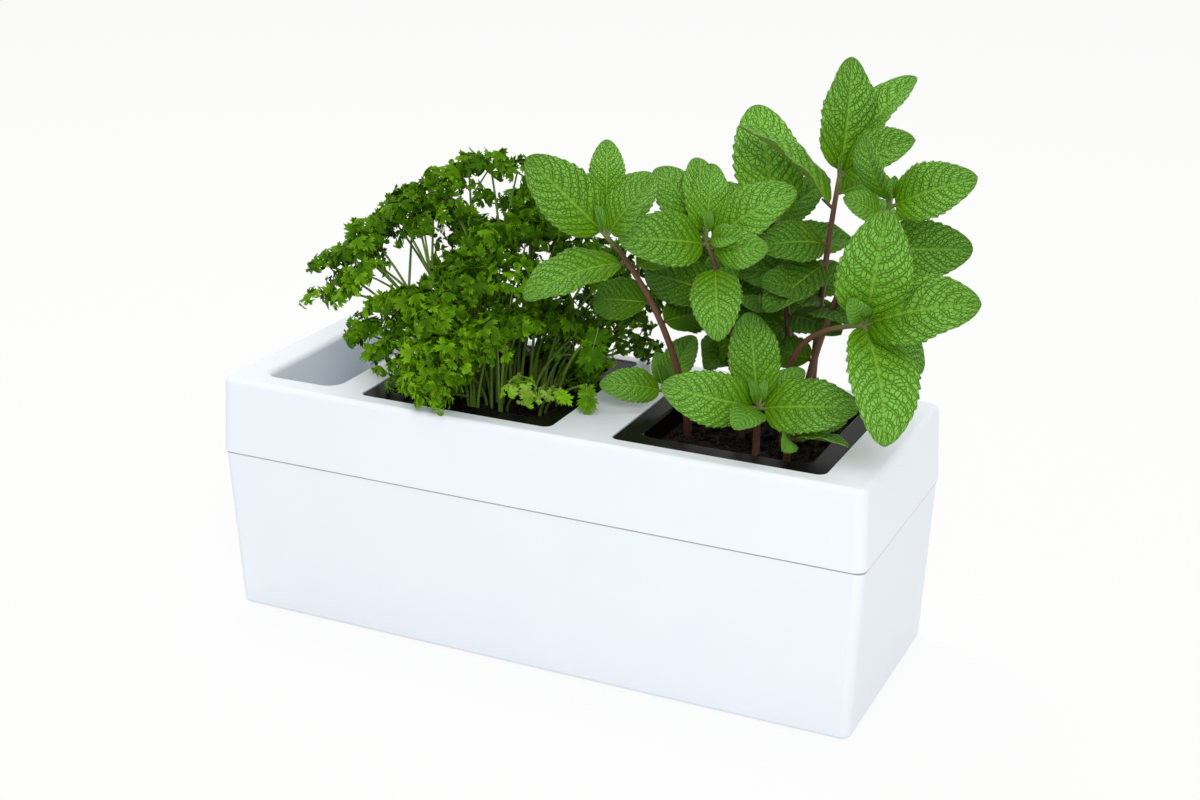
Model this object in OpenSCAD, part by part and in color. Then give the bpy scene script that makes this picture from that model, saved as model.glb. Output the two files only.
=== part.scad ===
// Self-watering herb planter: a water tub, a lift-off cover with a filling well,
// and two lift-out square pots of parsley and mint that drink through felt wicks.
// The origin is the middle of the underside, X runs along the planter, Z is up.

/* [Cover] */
// Length of the cover at its lower edge
cover_l = 330; // [325:1:380]
// Width of the cover at its lower edge
cover_w = 122; // [118:1:150]
// Height of the cover
cover_h = 38; // [30:1:50]
// Draft of the cover's sides over their height
cover_draft = 1.6; // [0:0.1:3]
// Radius of the cover's upright corners
cover_corner = 6; // [4:0.5:12]
// Radius of the cover's top edge
cover_edge = 3; // [1:0.5:4]
// Wall thickness of the white mouldings
wall = 2.5; // [1.8:0.1:3]
// How far the locating lip drops into the tub
lip_drop = 8; // [4:1:14]
// Gap between the locating lip and the tub
lip_gap = 0.5; // [0.3:0.1:1]

/* [Tub] */
// Height of the tub
tub_h = 83.4; // [75:0.2:110]
// Taper of each tub side from rim to base
tub_taper = 3; // [0:0.2:6]
// Step at the seam, where the cover stands proud of the tub
seam_step = 0.8; // [0.2:0.1:2]
// Radius of the tub's upright corners
tub_corner = 5; // [4:0.5:10]
// Radius of the tub's bottom edge
tub_edge = 2.5; // [1:0.5:4]

/* [Filling well] */
// White margin between the cover's end and the well
end_margin = 18.5; // [14:0.5:20]
// Opening of the well along the planter
well_l = 39.5; // [30:0.5:44]
// Opening of the well across the planter
well_w = 90; // [60:1:94]
// Corner radius of the well
well_corner = 7; // [5:0.5:10]
// Rolled edge of the well's mouth
well_roll = 3; // [1:0.5:4]
// Depth of the well's chute below the deck
well_depth = 52; // [30:1:70]
// White bridge between the well and the first pot
well_bridge = 17.3; // [12:0.1:20]

/* [Pots] */
// Side of the square pot opening in the deck
opening = 101; // [96:0.5:103]
// White bridge between the two pots
pot_bridge = 30; // [24:0.5:36]
// Gap between the pot flange and the deck
flange_gap = 0.5; // [0.3:0.1:1]
// Width of the pot flange
flange_w = 10; // [8:0.5:12]
// Thickness of the pot flange
flange_t = 2; // [1.6:0.1:3]
// How far the flange sits below the deck
flange_drop = 0.4; // [0.2:0.1:1]
// Thickness of the ledge that carries the flange
ledge_t = 2; // [1.5:0.1:3]
// Wall thickness of the pots
pot_wall = 1.6; // [1.2:0.1:2]
// Depth of the pots below their flange
pot_depth = 90; // [70:1:94]
// Taper of each pot side from flange to floor
pot_taper = 9; // [5:0.5:11]
// Diameter of the drain holes in the pot floor
drain_d = 6; // [4:0.5:8]

/* [Wicks] */
// Width of the felt strip
wick_w = 24; // [16:1:30]
// Thickness of the felt strip
wick_t = 3; // [2:0.5:4]
// Distance between the two tails
wick_span = 30; // [24:1:36]
// Gap between the tails and the tub floor
wick_gap = 3; // [2:0.5:6]

/* [Planting] */
// How far the potting mix sits below the deck
mix_drop = 9; // [6:0.5:14]
// Reach of the parsley's furthest sprig from the middle of its pot
parsley_r = 92; // [70:1:95]
// Height of the parsley's tallest sprig above the deck
parsley_h = 104; // [90:1:112]
// Radius of the largest curled parsley leaf
curl_r = 12; // [9:0.5:12.5]
// Width of a mint leaf over its length
mint_width = 0.57; // [0.45:0.01:0.64]
// Bend of a mint leaf from base to tip, in degrees
mint_bend = 34; // [20:1:45]
// Thickness of a leaf at its midrib
leaf_t = 1.2; // [1:0.1:1.6]
// Radius of a mint stem at the root
stem_r = 1.7; // [1.4:0.1:2.2]
// How far the leaves turn to the light at the front, as a share
to_light = 0.75; // [0.5:0.05:0.9]

/* [Hidden] */
deck_z = tub_h + cover_h;
cover_low = tub_h + 0.3;
well_x = -cover_l / 2 + end_margin + well_l / 2;
parsley_x = well_x + well_l / 2 + well_bridge + opening / 2;
mint_x = parsley_x + opening + pot_bridge;
tub_l = cover_l - 2 * seam_step;
tub_w = cover_w - 2 * seam_step;
flange = opening - 2 * flange_gap;
flange_top = deck_z - flange_drop;
ledge_top = flange_top - flange_t - 0.3;
pot_mouth = flange - 2 * flange_w;
pot_floor = flange_top - flange_t - pot_depth;
mix_top = deck_z - mix_drop;
mix_gap = 0.3;
wick_low = wall + wick_gap;
fit = 0.3;
skin = 0.01;
light = [0.25, -0.72, 0.65];
white = [0.93, 0.95, 0.98];
black = [0.09, 0.08, 0.08];
felt = [0.85, 0.83, 0.78];
earth = [0.16, 0.12, 0.1];
mint_green = [0.36, 0.62, 0.24];
parsley_green = [0.22, 0.48, 0.15];

// One level of a rounded box: four corner discs at height z.
module level(l, w, r, z) {
    for (sx = [-1, 1], sy = [-1, 1])
        translate([sx * (l / 2 - r), sy * (w / 2 - r), z])
            cylinder(r = r, h = skin, $fn = 24);
}

// A drafted box with rounded corners, from one level to another.
module drafted(l0, w0, l1, w1, r, z0, z1) {
    hull() {
        level(l0, w0, r, z0);
        level(l1, w1, r, z1 - skin);
    }
}

module reservoir_tub() {
    l0 = tub_l - 2 * tub_taper;
    w0 = tub_w - 2 * tub_taper;
    bend = tub_edge * (1 - sqrt(0.5));
    color(white) difference() {
        hull() {
            level(l0 - 2 * tub_edge, w0 - 2 * tub_edge, tub_corner - tub_edge + 1, 0);
            level(l0 - 2 * bend, w0 - 2 * bend, tub_corner - bend, bend);
            level(l0, w0, tub_corner, tub_edge);
            level(tub_l, tub_w, tub_corner, tub_h - skin);
        }
        drafted(l0 - 2 * wall, w0 - 2 * wall, tub_l - 2 * wall, tub_w - 2 * wall,
            tub_corner - wall + 1, wall, tub_h + 1);
    }
}

// The cover's outside: drafted sides and a rounded top edge.
module cover_shell() {
    l1 = cover_l - 2 * cover_draft;
    w1 = cover_w - 2 * cover_draft;
    bend = cover_edge * (1 - sqrt(0.5));
    hull() {
        level(cover_l, cover_w, cover_corner, cover_low);
        level(l1, w1, cover_corner, deck_z - cover_edge);
        level(l1 - 2 * bend, w1 - 2 * bend, cover_corner - bend, deck_z - bend);
        level(l1 - 2 * cover_edge, w1 - 2 * cover_edge, cover_corner - cover_edge + 0.5, deck_z - skin);
    }
}

// The rib under the cover that locates it inside the tub's rim.
module locating_lip() {
    l = tub_l - 2 * wall - 2 * lip_gap - 1;
    w = tub_w - 2 * wall - 2 * lip_gap - 1;
    difference() {
        drafted(l - 2, w - 2, l, w, tub_corner - wall + 1, tub_h - lip_drop, tub_h + wall);
        drafted(l - 2 * wall - 2, w - 2 * wall - 2, l - 2 * wall, w - 2 * wall,
            tub_corner - wall + 1, tub_h - lip_drop - 1, tub_h + wall + 1);
        translate([well_x, 0, 0])
            drafted(well_l, well_w, well_l, well_w, well_corner, tub_h - lip_drop - 1, deck_z);
    }
    difference() {
        drafted(cover_l - wall, cover_w - wall, cover_l - wall, cover_w - wall, cover_corner, tub_h + 0.4,
            tub_h + 0.4 + wall);
        drafted(l - 2 * wall, w - 2 * wall, l - 2 * wall, w - 2 * wall, tub_corner - wall + 1, tub_h, deck_z);
    }
}

// The ledge frame under one pot opening.
module pot_seat() {
    difference() {
        drafted(opening + 2 * wall, opening + 2 * wall, opening + 2 * wall, opening + 2 * wall, 5,
            ledge_top - ledge_t, deck_z - 1);
        drafted(pot_mouth + 7, pot_mouth + 7, pot_mouth + 7, pot_mouth + 7, 6, ledge_top - ledge_t - 1, deck_z);
    }
}

module pot_recess() {
    drafted(opening, opening, opening, opening, 4, ledge_top, deck_z + 1);
    drafted(pot_mouth + 7, pot_mouth + 7, pot_mouth + 7, pot_mouth + 7, 6, tub_h, deck_z);
}

// The chute runs from its rolled mouth in the deck down into the tub.
module well_chute() {
    drafted(well_l + 2 * wall - 2, well_w + 2 * wall - 2, well_l + 2 * wall, well_w + 2 * wall,
        well_corner + wall - 1, deck_z - well_depth, deck_z - 1);
}

module well_hollow() {
    drafted(well_l - 2, well_w - 2, well_l, well_w, well_corner, deck_z - well_depth - 1, deck_z + 1);
    bend = well_roll * (1 - sqrt(0.5));
    hull() {
        level(well_l, well_w, well_corner, deck_z - well_roll);
        level(well_l + 2 * bend, well_w + 2 * bend, well_corner + bend, deck_z - bend);
    }
    hull() {
        level(well_l + 2 * bend, well_w + 2 * bend, well_corner + bend, deck_z - bend);
        level(well_l + 2 * well_roll, well_w + 2 * well_roll, well_corner + well_roll, deck_z + skin);
    }
}

module top_cover() {
    color(white) difference() {
        union() {
            difference() {
                cover_shell();
                drafted(cover_l - 2 * wall, cover_w - 2 * wall, cover_l - 2 * cover_draft - 2 * wall,
                    cover_w - 2 * cover_draft - 2 * wall, cover_corner - wall + 1, tub_h - 1, deck_z - wall);
            }
            locating_lip();
            for (x = [parsley_x, mint_x])
                translate([x, 0, 0])
                    pot_seat();
            translate([well_x, 0, 0])
                well_chute();
        }
        for (x = [parsley_x, mint_x])
            translate([x, 0, 0])
                pot_recess();
        translate([well_x, 0, 0])
            well_hollow();
    }
}

// A square pot with a flat flange, two wick slots and five drain holes in its floor.
module pot(x) {
    side = pot_mouth + 2 * pot_wall;
    color(black) translate([x, 0, 0]) difference() {
        union() {
            drafted(side - 2 * pot_taper, side - 2 * pot_taper, side, side, 7, pot_floor, flange_top - 0.5);
            drafted(flange, flange, flange, flange, 3.6, flange_top - flange_t, flange_top);
        }
        drafted(pot_mouth - 2 * pot_taper, pot_mouth - 2 * pot_taper, pot_mouth, pot_mouth, 6,
            pot_floor + pot_wall, flange_top + 0.5);
        for (s = [-1, 1])
            translate([s * wick_span / 2 - wick_t / 2 - fit, -wick_w / 2 - fit, pot_floor - 1])
                cube([wick_t + 2 * fit, wick_w + 2 * fit, pot_wall + 2]);
        translate([0, 0, pot_floor - 1])
            cylinder(d = drain_d, h = pot_wall + 2, $fn = 32);
        for (sx = [-1, 1], sy = [-1, 1])
            translate([sx * wick_span * 0.7, sy * wick_span * 0.7, pot_floor - 1])
                cylinder(d = drain_d, h = pot_wall + 2, $fn = 32);
    }
}

module parsley_pot() {
    pot(parsley_x);
}

module mint_pot() {
    pot(mint_x);
}

// A felt strip that lies on the pot floor and hangs through both slots into the water.
module wick(x) {
    run_z = pot_floor + pot_wall + 0.1;
    color(felt) translate([x, 0, 0]) union() {
        translate([-wick_span / 2 - wick_t / 2, -wick_w / 2, run_z])
            cube([wick_span + wick_t, wick_w, wick_t]);
        for (s = [-1, 1])
            translate([s * wick_span / 2 - wick_t / 2, -wick_w / 2, wick_low])
                cube([wick_t, wick_w, run_z - wick_low + 1]);
    }
}

module parsley_wick() {
    wick(parsley_x);
}

module mint_wick() {
    wick(mint_x);
}

// Potting mix that fills a pot, with a channel under it for the wick.
module mix(x) {
    z0 = pot_floor + pot_wall + 0.2;
    rise = (mix_top - pot_floor - pot_wall) / (flange_top + 0.5 - pot_floor - pot_wall);
    low = pot_mouth - 2 * pot_taper - 2 * mix_gap;
    high = low + 2 * pot_taper * rise;
    color(earth) translate([x, 0, 0]) difference() {
        drafted(low, low, high, high, 5.6, z0, mix_top);
        translate([-wick_span / 2 - wick_t / 2 - fit, -wick_w / 2 - fit, z0 - 1])
            cube([wick_span + wick_t + 2 * fit, wick_w + 2 * fit, wick_t + 1.2]);
    }
}

module parsley_mix() {
    mix(parsley_x);
}

module mint_mix() {
    mix(mint_x);
}

// A closed skin over a list of rings with the same number of points each.
module skinned(rings) {
    n = len(rings[0]);
    m = len(rings);
    polyhedron(
        points = [for (r = rings) each r],
        faces = [
            for (i = [0 : m - 2], j = [0 : n - 1])
                each [[i * n + j, (i + 1) * n + j, i * n + (j + 1) % n],
                    [i * n + (j + 1) % n, (i + 1) * n + j, (i + 1) * n + (j + 1) % n]],
            for (j = [1 : n - 2])
                each [[0, j, j + 1], [(m - 1) * n, (m - 1) * n + j + 1, (m - 1) * n + j]]
        ]
    );
}

// One round stretch of stem or stalk between two points.
module stretch(a, b, ra, rb, sides) {
    hull() {
        translate(a)
            cylinder(r = ra, h = 0.5, $fn = sides);
        translate(b)
            cylinder(r = rb, h = 0.5, $fn = sides);
    }
}

// A leaf's own directions: along its chord, up from its face, and across it.
// The face is turned about the chord towards the light, and by a roll of its own.
function leaf_along(a, e) = [cos(a) * cos(e), sin(a) * cos(e), sin(e)];
function leaf_level(a, e) = [-cos(a) * sin(e), -sin(a) * sin(e), cos(e)];
function leaf_turn(a, e) =
    max(-75, min(75, to_light * atan2(light * [-sin(a), cos(a), 0], light * leaf_level(a, e))));
function leaf_face(a, e, roll) =
    leaf_level(a, e) * cos(leaf_turn(a, e) + roll) + [-sin(a), cos(a), 0] * sin(leaf_turn(a, e) + roll);
function leaf_across(a, e, roll) = cross(leaf_face(a, e, roll), leaf_along(a, e));

// A mint leaf is an arc over its chord, widest below the middle and folded at the midrib.
function arc_out(s) = 180 / (PI * mint_bend) * (sin(mint_bend / 2) - sin(mint_bend * (0.5 - s)));
function arc_up(s) = 180 / (PI * mint_bend) * (cos(mint_bend * (0.5 - s)) - cos(mint_bend / 2));
function leaf_half(s) = mint_width / 2 * (0.05 + 0.95 * pow(max(0, sin(180 * pow(s, 0.84))), 0.6));
function leaf_point(base, a, e, roll, size, s, side, lift) =
    base + size * arc_out(s) * leaf_along(a, e) + side * size * leaf_half(s) * leaf_across(a, e, roll)
        + (size * arc_up(s) + lift) * leaf_face(a, e, roll);

module mint_leaf(base, a, e, size, roll = 0) {
    skinned([for (s = [0, 0.16, 0.42, 0.74, 1])
        let (fold = 0.3 * size * leaf_half(s))
            [leaf_point(base, a, e, roll, size, s, 1, fold),
            leaf_point(base, a, e, roll, size, s, 0, 0),
            leaf_point(base, a, e, roll, size, s, -1, fold),
            leaf_point(base, a, e, roll, size, s, -1, fold - 0.6 * leaf_t),
            leaf_point(base, a, e, roll, size, s, 0, -leaf_t),
            leaf_point(base, a, e, roll, size, s, 1, fold - 0.6 * leaf_t)]]);
}

// A shoot rises upright from its root and leans out to its tip, late where lean is high.
function shoot_point(root, tip, lean, t) = [
    root.x + (tip.x - root.x) * pow(t, lean),
    root.y + (tip.y - root.y) * pow(t, lean),
    tip.z * (1.25 * t - 0.25 * t * t)
];

// Leaves are [share of the stem's length, heading, slope, size], with a roll where they turn away
// and the length of the leaf's stalk where it is a long one.
module mint_shoot(root, tip, leaves, lean = 1.5) {
    steps = 5;
    short_stalk = 3;
    color(mint_green) translate([mint_x, 0, mix_top + 0.1]) union() {
        for (i = [0 : steps - 1])
            stretch(shoot_point(root, tip, lean, i / steps), shoot_point(root, tip, lean, (i + 1) / steps),
                stem_r * (1 - 0.4 * i / steps), stem_r * (1 - 0.4 * (i + 1) / steps), 6);
        for (f = leaves) {
            at = shoot_point(root, tip, lean, f[0]);
            along = leaf_along(f[1], f[2]);
            roll = is_undef(f[4]) ? 0 : f[4];
            stalk_l = is_undef(f[5]) ? short_stalk : f[5];
            stretch(at, at + (stalk_l + 2) * along, 0.9, 0.9, 4);
            mint_leaf(at + stalk_l * along + [0, 0, 0.4], f[1], f[2], f[3], roll);
        }
    }
}

module mint_front() {
    mint_shoot([8, -20], [10, -24, 24], [[1, -150, 15, 43, 40], [1, -5, 10, 46, -20], [1, 125, 60, 41, 5],
        [1, -90, 0, 27, 5], [1, 45, 35, 24, -15]]);
}

module mint_left() {
    mint_shoot([-30, -8], [-55, -45, 100], [[1, -155, 45, 46, 30], [1, -10, 50, 34, -20],
        [1, 115, 70, 28, -5, 14], [0.84, -135, -15, 47, -15], [1, 75, 35, 36, -5], [0.6, 160, -10, 35, 30],
        [0.5, 80, -10, 34, -20]]);
}

module mint_middle() {
    mint_shoot([-6, 0], [-21, -14, 95], [[0.97, -125, 10, 44, 25], [0.97, 5, 35, 46, -10],
        [1, 105, 60, 29, -5, 6], [1, 150, 35, 42], [1, -20, 15, 19, -25], [0.95, -20, 10, 32, -60],
        [0.84, -65, -35, 40, -5], [1, 125, 55, 36, -20], [0.66, 170, 5, 40, 25], [0.42, 140, -30, 32, 40]]);
}

module mint_back() {
    mint_shoot([10, 20], [0, 20, 97], [[1, 130, 55, 55, 5], [1, 115, 35, 40], [0.84, 50, 0, 36],
        [0.6, 60, 5, 38], [0.72, -165, -15, 36, 20], [0.45, -170, -5, 32, 20]]);
}

module mint_tall() {
    mint_shoot([22, 12], [29, 17, 122], [[1, 90, 80, 49, -30], [1, 45, 50, 52, 35], [1, -15, 30, 40, -10],
        [0.92, 75, -5, 36, -5], [0.85, 180, 35, 54, -45], [0.7, -125, 5, 36, 15], [0.6, -160, -5, 36, 25],
        [0.48, -115, 20, 38]]);
}

module mint_right() {
    mint_shoot([20, 2], [58, -2, 116], [[1, -130, 65, 32, 100], [1, -15, 25, 42, -30], [0.78, 25, 0, 46, -40],
        [0.95, -120, 25, 23, 30], [0.9, 95, -5, 40], [0.7, 40, -5, 38], [0.3, 145, -10, 30, 15]]);
}

module mint_outer() {
    mint_shoot([15, -4], [57, -26, 70], [[1, -55, 70, 56, -85], [1, -15, 20, 55, -10], [1, -60, -40, 57, 25],
        [0.97, 40, -35, 38, -10], [1, -100, 45, 19, 60]], lean = 4);
}

module mint_low() {
    mint_shoot([-30, 8], [-46, 2, 15], [[1, -140, 10, 30, 15], [1, 75, 45, 28], [1, 135, 55, 16]]);
}

module mint_rear() {
    mint_shoot([-8, 24], [-14, 36, 84], [[1, 150, 25, 38], [1, 35, 40, 40], [1, 80, 55, 40],
        [0.8, 95, -10, 42], [0.5, 30, 0, 38], [0.75, -160, 5, 50, 30]]);
}

module mint_sprout() {
    mint_shoot([24, -24], [26, -26, 13], [[1, -80, 5, 18, 35], [1, -10, 5, 26, 40], [1, 25, 20, 24, 10]]);
}

// Each parsley sprig has a leaf at its tip and others that branch off below it. A leaf is
// [x, y, height above the deck, radius], listed at this reach, height and largest radius.
listed_r = 92;
listed_h = 104;
listed_curl = 12;
sprigs = [
    [[-20, 6, 101, 11], [-30, 0, 92, 9], [-24, -2, 81, 9]],
    [[-6, 2, 104, 11], [7, 4, 102, 10]],
    [[20, 8, 94, 11], [31, -4, 89, 10], [16, 0, 81, 11]],
    [[-46, -18, 81, 11], [-45, -6, 88, 8], [-38, -8, 75, 9]],
    [[-58, 0, 77, 11], [-66, 8, 72, 9], [-40, 6, 79, 10]],
    [[-70, -6, 66, 11], [-79, -4, 55, 10], [-60, 20, 71, 10]],
    [[-66, -20, 61, 11], [-58, -28, 52, 10]],
    [[-92, -12, 50, 8], [-84, -14, 37, 9]],
    [[-33, -30, 41, 11], [-46, -8, 33, 11], [-47, -28, 17, 9]],
    [[-62, -26, 22, 9], [-36, -32, 10, 9]],
    [[-24, -34, 22, 12], [-20, -44, 11, 11], [-8, -47, 10, 10]],
    [[-16, -38, 39, 11], [-8, -42, 25, 11]],
    [[5, -20, 73, 12], [18, -24, 61, 11], [2, -32, 57, 11]],
    [[-6, 2, 69, 12], [-14, -16, 53, 10], [10, 14, 75, 11]],
    [[-18, 20, 66, 11], [-34, 24, 67, 9], [-6, 30, 79, 11]],
    [[32, 2, 78, 11], [24, 20, 73, 11], [36, 12, 63, 10]],
    [[20, 36, 74, 11], [40, 26, 55, 10], [30, 44, 41, 10]],
    [[27, -10, 53, 10], [33, -8, 33, 10], [20, 8, 41, 11]],
    [[22, -22, 37, 10], [10, -34, 35, 10]],
    [[36, 12, 25, 10], [44, 10, 14, 8]],
    [[50, 36, 14, 10], [58, 44, 10, 8], [40, 42, 24, 9]],
    [[27, -31, 7, 8]],
    [[-10, 44, 55, 11], [-34, 34, 41, 11], [14, 46, 49, 11]],
    [[-40, 40, 23, 10], [-14, 48, 24, 10], [-52, 30, 33, 10]],
    [[14, 48, 18, 10], [26, 46, 27, 9]]
];
function sprig_point(f) = [
    f.x * parsley_r / listed_r,
    f.y * parsley_r / listed_r,
    mix_drop + f.z * parsley_h / listed_h
];
function stalk_root(tip) = [tip.x, tip.y] * min(0.3, 0.33 * pot_mouth / norm([tip.x, tip.y]));
function stalk_point(root, tip, t) = [
    root.x + (tip.x - root.x) * pow(t, 1.6),
    root.y + (tip.y - root.y) * pow(t, 1.6),
    tip.z * (1.2 * t - 0.2 * t * t)
];

// One curled leaf: a shallow crown with a rim that waves in and out.
module curl(at, size, spin) {
    rim = 8;
    polyhedron(
        points = [
            at + [0, 0, -0.2 * size],
            each [for (j = [0 : rim - 1])
                at + size * [cos(spin + j * 360 / rim), sin(spin + j * 360 / rim), 0] * (1 - 0.25 * (j % 2))
                    + [0, 0, 0.2 * size * (j % 2)]],
            at + [0, 0, 0.5 * size]
        ],
        faces = [for (j = [0 : rim - 1])
            each [[0, 1 + j, 1 + (j + 1) % rim], [rim + 1, 1 + (j + 1) % rim, 1 + j]]]
    );
}

module stalk(root, tip) {
    for (k = [0 : 2])
        stretch(stalk_point(root, tip, k / 3), stalk_point(root, tip, (k + 1) / 3),
            1.1 - 0.2 * k, 0.9 - 0.2 * k, 5);
}

module parsley_plant() {
    color(parsley_green) translate([parsley_x, 0, mix_top + 0.1]) union() {
        for (i = [0 : len(sprigs) - 1]) {
            tip = sprig_point(sprigs[i][0]);
            root = stalk_root(tip);
            fork = stalk_point(root, tip, 0.6);
            stalk(root, tip);
            for (j = [0 : len(sprigs[i]) - 1]) {
                leaf = sprigs[i][j];
                if (j > 0)
                    stretch(fork, sprig_point(leaf), 0.6, 0.5, 5);
                curl(sprig_point(leaf), leaf[3] * curl_r / listed_curl, 40 * i + 25 * j);
            }
        }
    }
}

reservoir_tub();
top_cover();
parsley_pot();
mint_pot();
parsley_wick();
mint_wick();
parsley_mix();
mint_mix();
parsley_plant();
mint_front();
mint_left();
mint_middle();
mint_back();
mint_tall();
mint_right();
mint_outer();
mint_low();
mint_rear();
mint_sprout();
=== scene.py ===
# %% [markdown]
# # A self-watering herb planter
# A white trough in two halves holds water. Two black pots hang in its cover, one of curled
# parsley and one of mint, and drink through felt wicks. The CAD model gives every size and
# every moving body, and this file gives each piece the surface that the eye sees.

# %% The frame
import math

import bpy
import numpy as np
from mathutils import Matrix, Vector, noise


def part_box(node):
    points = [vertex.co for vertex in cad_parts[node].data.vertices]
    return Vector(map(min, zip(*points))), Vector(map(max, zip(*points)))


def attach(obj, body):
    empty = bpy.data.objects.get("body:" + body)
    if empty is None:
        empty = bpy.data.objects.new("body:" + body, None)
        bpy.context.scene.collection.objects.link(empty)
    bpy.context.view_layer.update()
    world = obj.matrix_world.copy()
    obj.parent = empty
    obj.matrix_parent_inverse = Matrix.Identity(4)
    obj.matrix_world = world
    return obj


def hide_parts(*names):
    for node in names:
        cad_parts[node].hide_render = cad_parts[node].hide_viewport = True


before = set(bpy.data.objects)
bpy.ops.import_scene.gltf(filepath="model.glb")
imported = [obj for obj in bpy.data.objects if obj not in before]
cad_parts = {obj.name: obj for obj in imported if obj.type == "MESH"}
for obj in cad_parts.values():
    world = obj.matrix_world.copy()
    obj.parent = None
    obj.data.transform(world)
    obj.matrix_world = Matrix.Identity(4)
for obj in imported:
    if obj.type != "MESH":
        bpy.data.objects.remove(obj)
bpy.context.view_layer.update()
MM = 0.001

# %% [markdown]
# ## The camera
# The planter's own straight edges fix where the photograph was taken from: a little above the
# deck and round to the right. A camera can be aimed with a constraint, but its own matrix keeps
# the small roll as well, so the place and the three angles go into it directly.

# %% The camera
# Metres, degrees and, for the sensor and lens, millimetres.
CAMERA_PLACE = Vector((0.36163, -0.74587, 0.42093))
CAMERA_TURN, CAMERA_TILT, CAMERA_ROLL = 25.05, 20.18, 0.27
SENSOR_WIDTH, LENS = 36, 55.17

camera = bpy.data.objects.new("camera", bpy.data.cameras.new("camera"))
bpy.context.scene.collection.objects.link(camera)
bpy.context.scene.camera = camera
camera.data.sensor_width = SENSOR_WIDTH
camera.data.lens = LENS
camera.matrix_world = (
    Matrix.Translation(CAMERA_PLACE)
    @ Matrix.Rotation(math.radians(CAMERA_TURN), 4, "Z")
    @ Matrix.Rotation(math.radians(90 - CAMERA_TILT), 4, "X")
    @ Matrix.Rotation(math.radians(CAMERA_ROLL), 4, "Z")
)
print("camera at", [round(x, 3) for x in CAMERA_PLACE])

# %% [markdown]
# ## Working with nodes
# Every finish below is drawn by shader nodes. By hand a node is added in the editor, its inputs
# are typed in or linked, and its output goes on to the next one. These helpers do the same in one
# line each, so that the cells on the finishes stay short enough to read.


# %% Helpers for nodes
def fill(tree, socket, value):
    """Links an input to another node's output, or sets it to a plain value."""
    if isinstance(value, bpy.types.NodeSocket):
        tree.links.new(value, socket)
    elif value is not None:
        socket.default_value = value


def add(tree, kind, *inputs, out=0, **settings):
    """Adds a node, sets its properties, fills its inputs in order and returns one output."""
    made = tree.nodes.new(kind)
    for key, value in settings.items():
        setattr(made, key, value)
    for socket, value in zip(made.inputs, inputs):
        fill(tree, socket, value)
    return made.outputs[out]


def maths(tree, operation, *inputs):
    return add(tree, "ShaderNodeMath", *inputs, operation=operation)


def between(tree, value, low, high, to_low=0.0, to_high=1.0, ease="LINEAR"):
    """Stretches a value from one span to another and holds it there."""
    spans = (value, low, high, to_low, to_high)
    return add(tree, "ShaderNodeMapRange", *spans, clamp=True, interpolation_type=ease)


def blend_colours(tree, amount, first, second):
    """Goes from the first colour to the second as amount goes from 0 to 1."""
    made = tree.nodes.new("ShaderNodeMix")
    made.data_type = "RGBA"
    for name, kind, value in (("Factor", "VALUE", amount), ("A", "RGBA", first), ("B", "RGBA", second)):
        fill(tree, next(s for s in made.inputs if (s.name, s.type) == (name, kind)), value)
    return next(s for s in made.outputs if s.type == "RGBA")


# %% [markdown]
# ## Patterns
# Plastic, felt, peat and leaves are all a little uneven. An image could show that, but noise needs
# no file and has no end. It is read at the place of each point on the piece itself, so it moves
# with the piece, and squeezing or drawing out the height turns spots into fibres and streaks.


# %% Helpers for patterns
def object_place(tree):
    """Where each point lies on the piece."""
    return add(tree, "ShaderNodeTexCoord", out=3)


def cloudy(tree, place, scale, detail, out=0):
    """Soft noise of a given scale and detail."""
    return add(tree, "ShaderNodeTexNoise", place, None, scale, detail, out=out)


def streaky(tree, place, squeeze, scale, detail):
    """Noise squeezed along the height, or drawn out where squeeze is below 1."""
    return cloudy(tree, add(tree, "ShaderNodeMapping", place, None, None, (1, 1, squeeze)), scale, detail)


# %% [markdown]
# ## Starting a material
# A material starts with one Principled shader. What is the same all over, such as the gloss of a
# stem, is set on its sockets, and a colour or a height that changes over the surface is linked to
# it. Colours are written as they look on a screen and turned into the linear light of the shader.


# %% Helpers for materials
def material(name, **plain):
    """A new material, its node tree and its Principled shader, with plain values set on it."""
    made = bpy.data.materials.new(name)
    made.use_nodes = True
    shader = made.node_tree.nodes["Principled BSDF"]
    for key, value in plain.items():
        shader.inputs[key.replace("_", " ").title().replace("Ior", "IOR")].default_value = value
    return made, made.node_tree, shader


def paint(tree, shader, value):
    """Gives the shader a colour that changes over the surface."""
    tree.links.new(value, shader.inputs["Base Color"])


def bumpy(tree, shader, height, strength, distance):
    """Raises the surface by a height map."""
    made = tree.nodes.new("ShaderNodeBump")
    made.inputs["Strength"].default_value = strength
    made.inputs["Distance"].default_value = distance
    tree.links.new(height, made.inputs["Height"])
    tree.links.new(made.outputs["Normal"], shader.inputs["Normal"])


def colour(r, g, b):
    """A screen colour, 0 to 255, as the linear colour that shaders use."""
    linear = [((c / 255 + 0.055) / 1.055) ** 2.4 if c > 10 else c / 255 / 12.92 for c in (r, g, b)]
    return (*linear, 1.0)


# %% [markdown]
# ## Moulded plastic
# Both plastics are injection moulded, so both have a faint uneven sheen and a very fine grain
# from the mould. That is one shared node group with a scale, a mask for the sheen and a height
# for the grain, and each plastic sets its own colour and gloss.

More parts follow.
